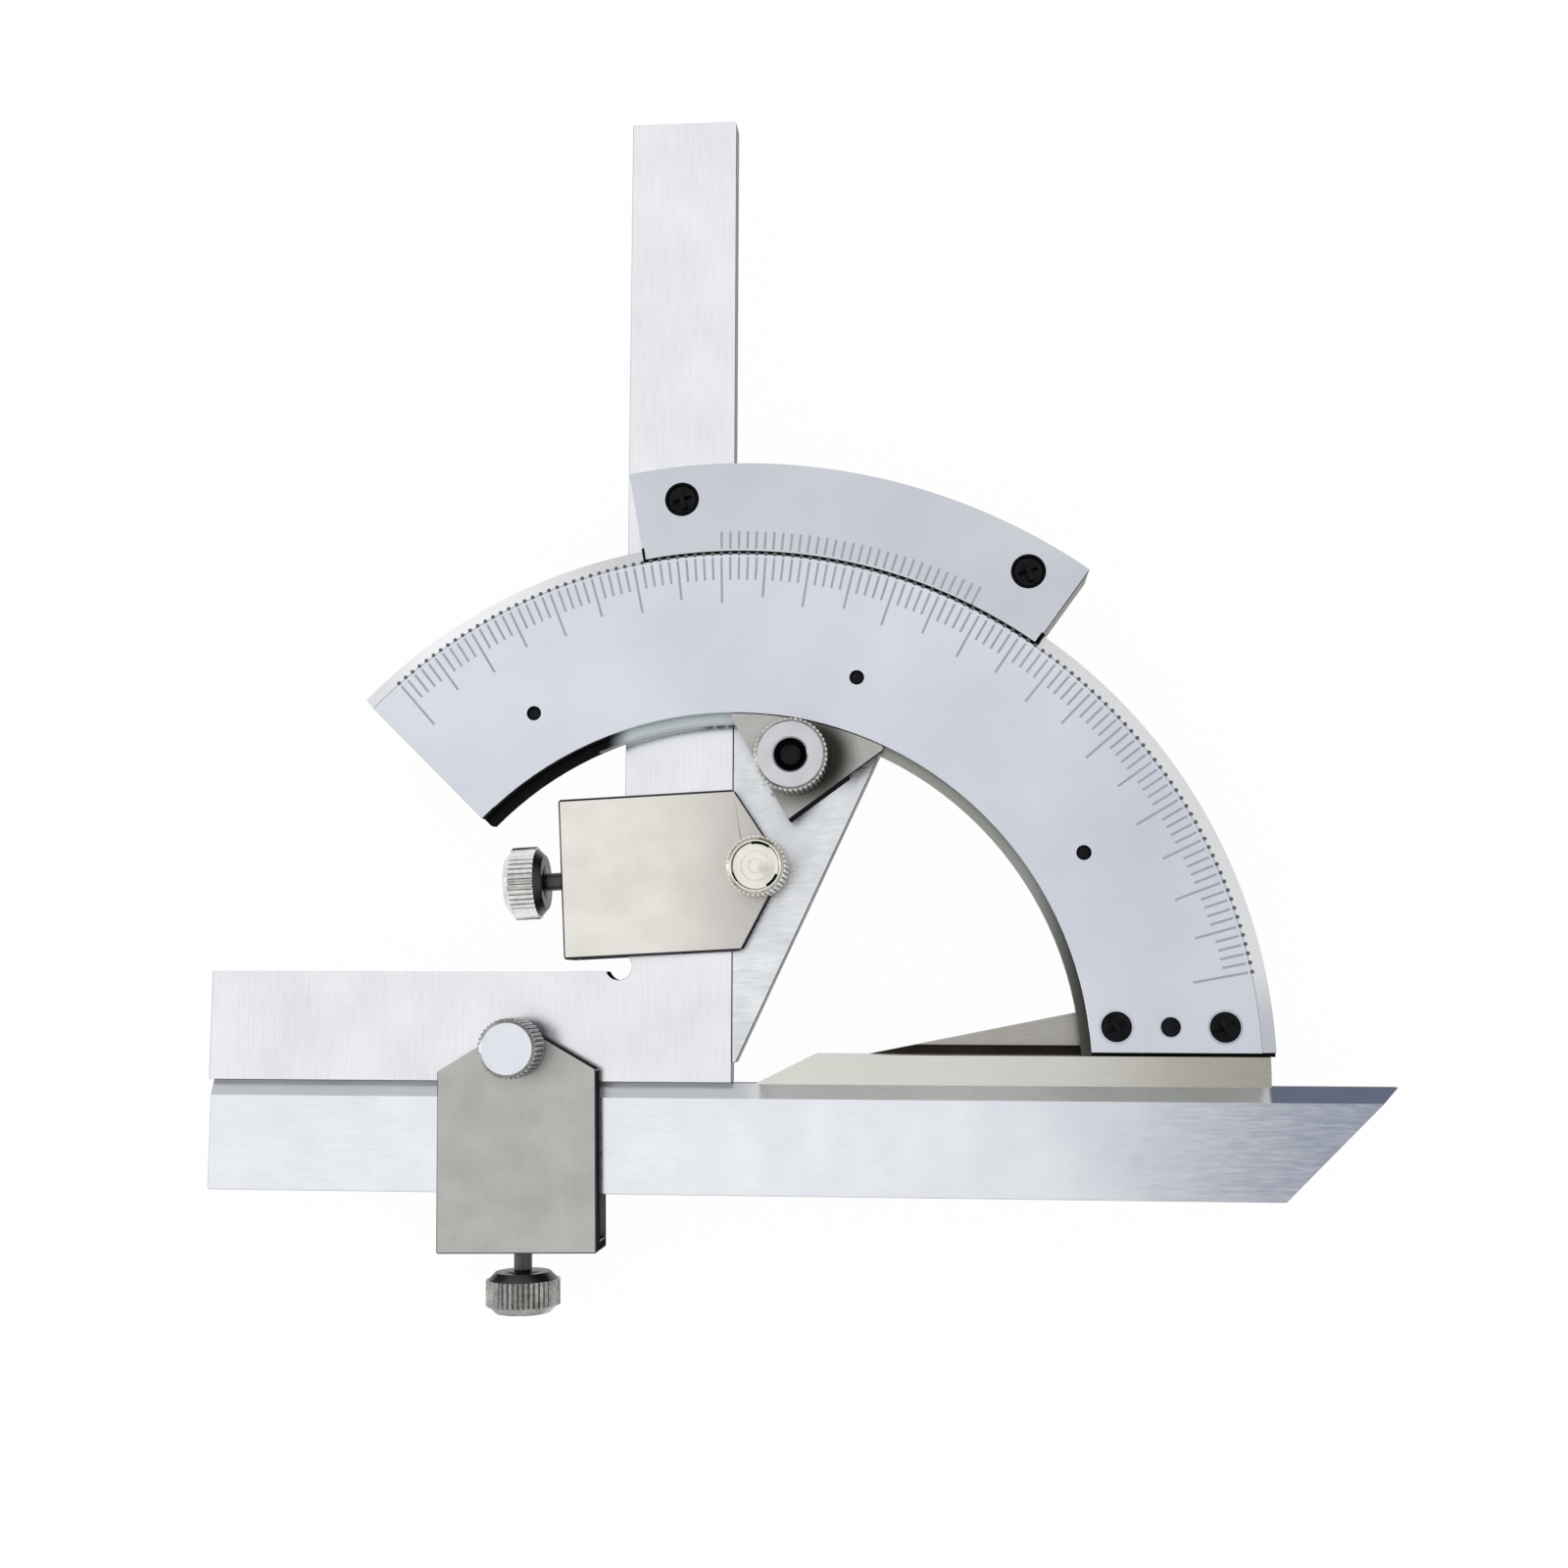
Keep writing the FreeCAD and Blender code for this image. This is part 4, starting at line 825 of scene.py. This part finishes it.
# the upper head takes the brighter ridge metal and the lower the darker one, painted light and shade on two like
# screws; their shanks and undersides take the dark side copy, painted shade
for name, node, knob, turn, headMetal in (
        ("upperThumb", "upper_thumb_screw", "upper_lock_knob", 3.0, litRidge),
        ("lowerThumb", "lower_thumb_screw", "lower_lock_knob", 91.0, shadedRidge)):
    knobMiddle = middleOf(knob)
    boxLow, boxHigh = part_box(node)
    neckEnd = thumbFacts["reach"] + thumbFacts["neck"]
    headLow = neckEnd + thumbFacts["gap"]
    away = Vector((-math.cos(math.radians(turn)), -math.sin(math.radians(turn)), 0))
    ends = [Vector((x, y, 0)) - Vector((knobMiddle.x, knobMiddle.y, 0)) for x in (boxLow.x, boxHigh.x)
            for y in (boxLow.y, boxHigh.y)]
    shankLow = max(min(e.dot(away) for e in ends) / mm, thumbFacts["shankFrom"])
    shank, collar, chamfer = thumbFacts["shank"], thumbFacts["collar"], thumbFacts["chamfer"]
    headFacts = {"node": node, "low": headLow, "high": headLow + thumbFacts["head"], "radius": 4.7, "knurl": 0.3,
                 "bevel": 0.9, "ridges": 40, "sides": 4, "groove": knurlGroove, "face": headMetal,
                 "under": shadedSide, "ridgeMetal": headMetal, "shank": shadedSide,
                 "extras": [[(0, shankLow), (shank, shankLow), (shank, neckEnd - chamfer),
                             (thumbFacts["shoulder"], neckEnd), (0, neckEnd)],
                            [(0, neckEnd), (collar - chamfer, neckEnd), (collar, neckEnd + chamfer / 2),
                             (collar, headLow + chamfer / 2), (0, headLow + chamfer / 2)]]}
    swing = Matrix.Rotation(math.radians(turn), 4, "Z") @ Matrix.Rotation(math.radians(-90), 4, "Y")
    place = Matrix.Translation((knobMiddle.x, knobMiddle.y, middleOf(node).z)) @ swing
    turnedPiece(name, headFacts, place)
print("turned pieces made")

# Cross-recess screws: radii and heights of one screw below its face
screwFacts = {"length": 5.0, "tip": 1.0, "shank": 1.2, "tipBevel": 0.25, "headHeight": 1.4, "head": 2.0,
              "underBevel": 0.15, "under": 1.8, "faceBevel": 0.25, "face": 1.75, "steps": 40}
crossFacts = {"length": 2.5, "width": 0.6, "depth": 0.8}
screwSample = lathe("crossScrew", [
    (0, -screwFacts["length"]), (screwFacts["tip"], -screwFacts["length"]),
    (screwFacts["shank"], screwFacts["tipBevel"] - screwFacts["length"]),
    (screwFacts["shank"], -screwFacts["headHeight"]), (screwFacts["under"], -screwFacts["headHeight"]),
    (screwFacts["head"], screwFacts["underBevel"] - screwFacts["headHeight"]),
    (screwFacts["head"], -screwFacts["faceBevel"]), (screwFacts["face"], 0), (0, 0)],
    screwFacts["steps"], blackOxide)
for long, wide in (("length", "width"), ("width", "length")):
    shape = bmesh.new()
    bmesh.ops.create_cube(shape, size=1.0)
    bmesh.ops.scale(shape, vec=(crossFacts[long] * mm, crossFacts[wide] * mm, 2 * crossFacts["depth"] * mm),
                    verts=shape.verts)
    cutter = addObject("crossCutter", meshFrom(shape, "crossCutter"))
    cut = screwSample.modifiers.new("cross", "BOOLEAN")
    cut.object = cutter
    cut.operation = "DIFFERENCE"
    cut.solver = "EXACT"
    bakePiece(screwSample)
    bpy.data.objects.remove(cutter)

baseScrewSpots = [Vector((x, 5.3, 0)) * mm for x in (47.4, 60.4)]
vernierScrewSpots = [onArcPoint(72.3, degrees) for degrees in (95.1, 58.8)]
for name, node, spots, turn in (("baseScrews", "base_screws", baseScrewSpots, 0.5),
                                ("vernierScrews", "vernier_screws", vernierScrewSpots, 0.3)):
    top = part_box(node)[1].z
    spotsMesh = bpy.data.meshes.new(name)
    spotsMesh.from_pydata([(spot.x, spot.y, top) for spot in spots], [], [])
    piece = addObject(name, spotsMesh)
    growPiece(piece, screwTree, screwInputs, {"Screw": screwSample, "Turn": turn, "Finish": blackOxide})
    piece.data.set_sharp_from_angle(angle=math.radians(creases["screw"]))
    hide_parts(node)
    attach(piece, bodyOf(node))
bpy.data.objects.remove(screwSample)
print("screws set")

for node, piece in nodes.items():
    if not piece.hide_render:
        print("plain node left:", node)
        piece.data.materials.clear()
        piece.data.materials.append(gearSteel)

# Rims of the pin and screw holes: painted shade round the pins and the vernier's screws, a painted highlight round
# the others
pinFacts = {"innerWall": 44.4, "inset": 6.8, "angles": (119.5, 71.9, 31.2)}
pinSpots = [onArcPoint(pinFacts["innerWall"] + pinFacts["inset"], degrees) for degrees in pinFacts["angles"]]
rimFacts = {
    "pinRims": {"node": "sector_pins", "spots": pinSpots, "inner": 0.78, "outer": 0.93, "material": shadeBlack},
    "dowelRim": {"node": "base_dowel", "spots": [middleOf("base_dowel")], "inner": 1.2, "outer": 1.38,
                 "material": polishedChrome},
    "baseScrewRims": {"node": "base_screws", "spots": baseScrewSpots, "inner": 1.86, "outer": 2.08,
                      "material": polishedChrome},
    "vernierScrewRims": {"node": "vernier_screws", "spots": vernierScrewSpots, "inner": 1.9, "outer": 2.2,
                         "material": shadeBlack}}
for name, facts in rimFacts.items():
    section = boxSection(facts["inner"], facts["outer"], faceLevel - 0.3, faceLevel + 0.008)
    rims, *others = [arcStrip(name, section, 0, 360, 40, facts["material"], (spot.x / mm, spot.y / mm))
                     for spot in facts["spots"]]
    for rim in others:
        joinInto(rims, rim)
    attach(rims, bodyOf(facts["node"]))
print("rims laid")
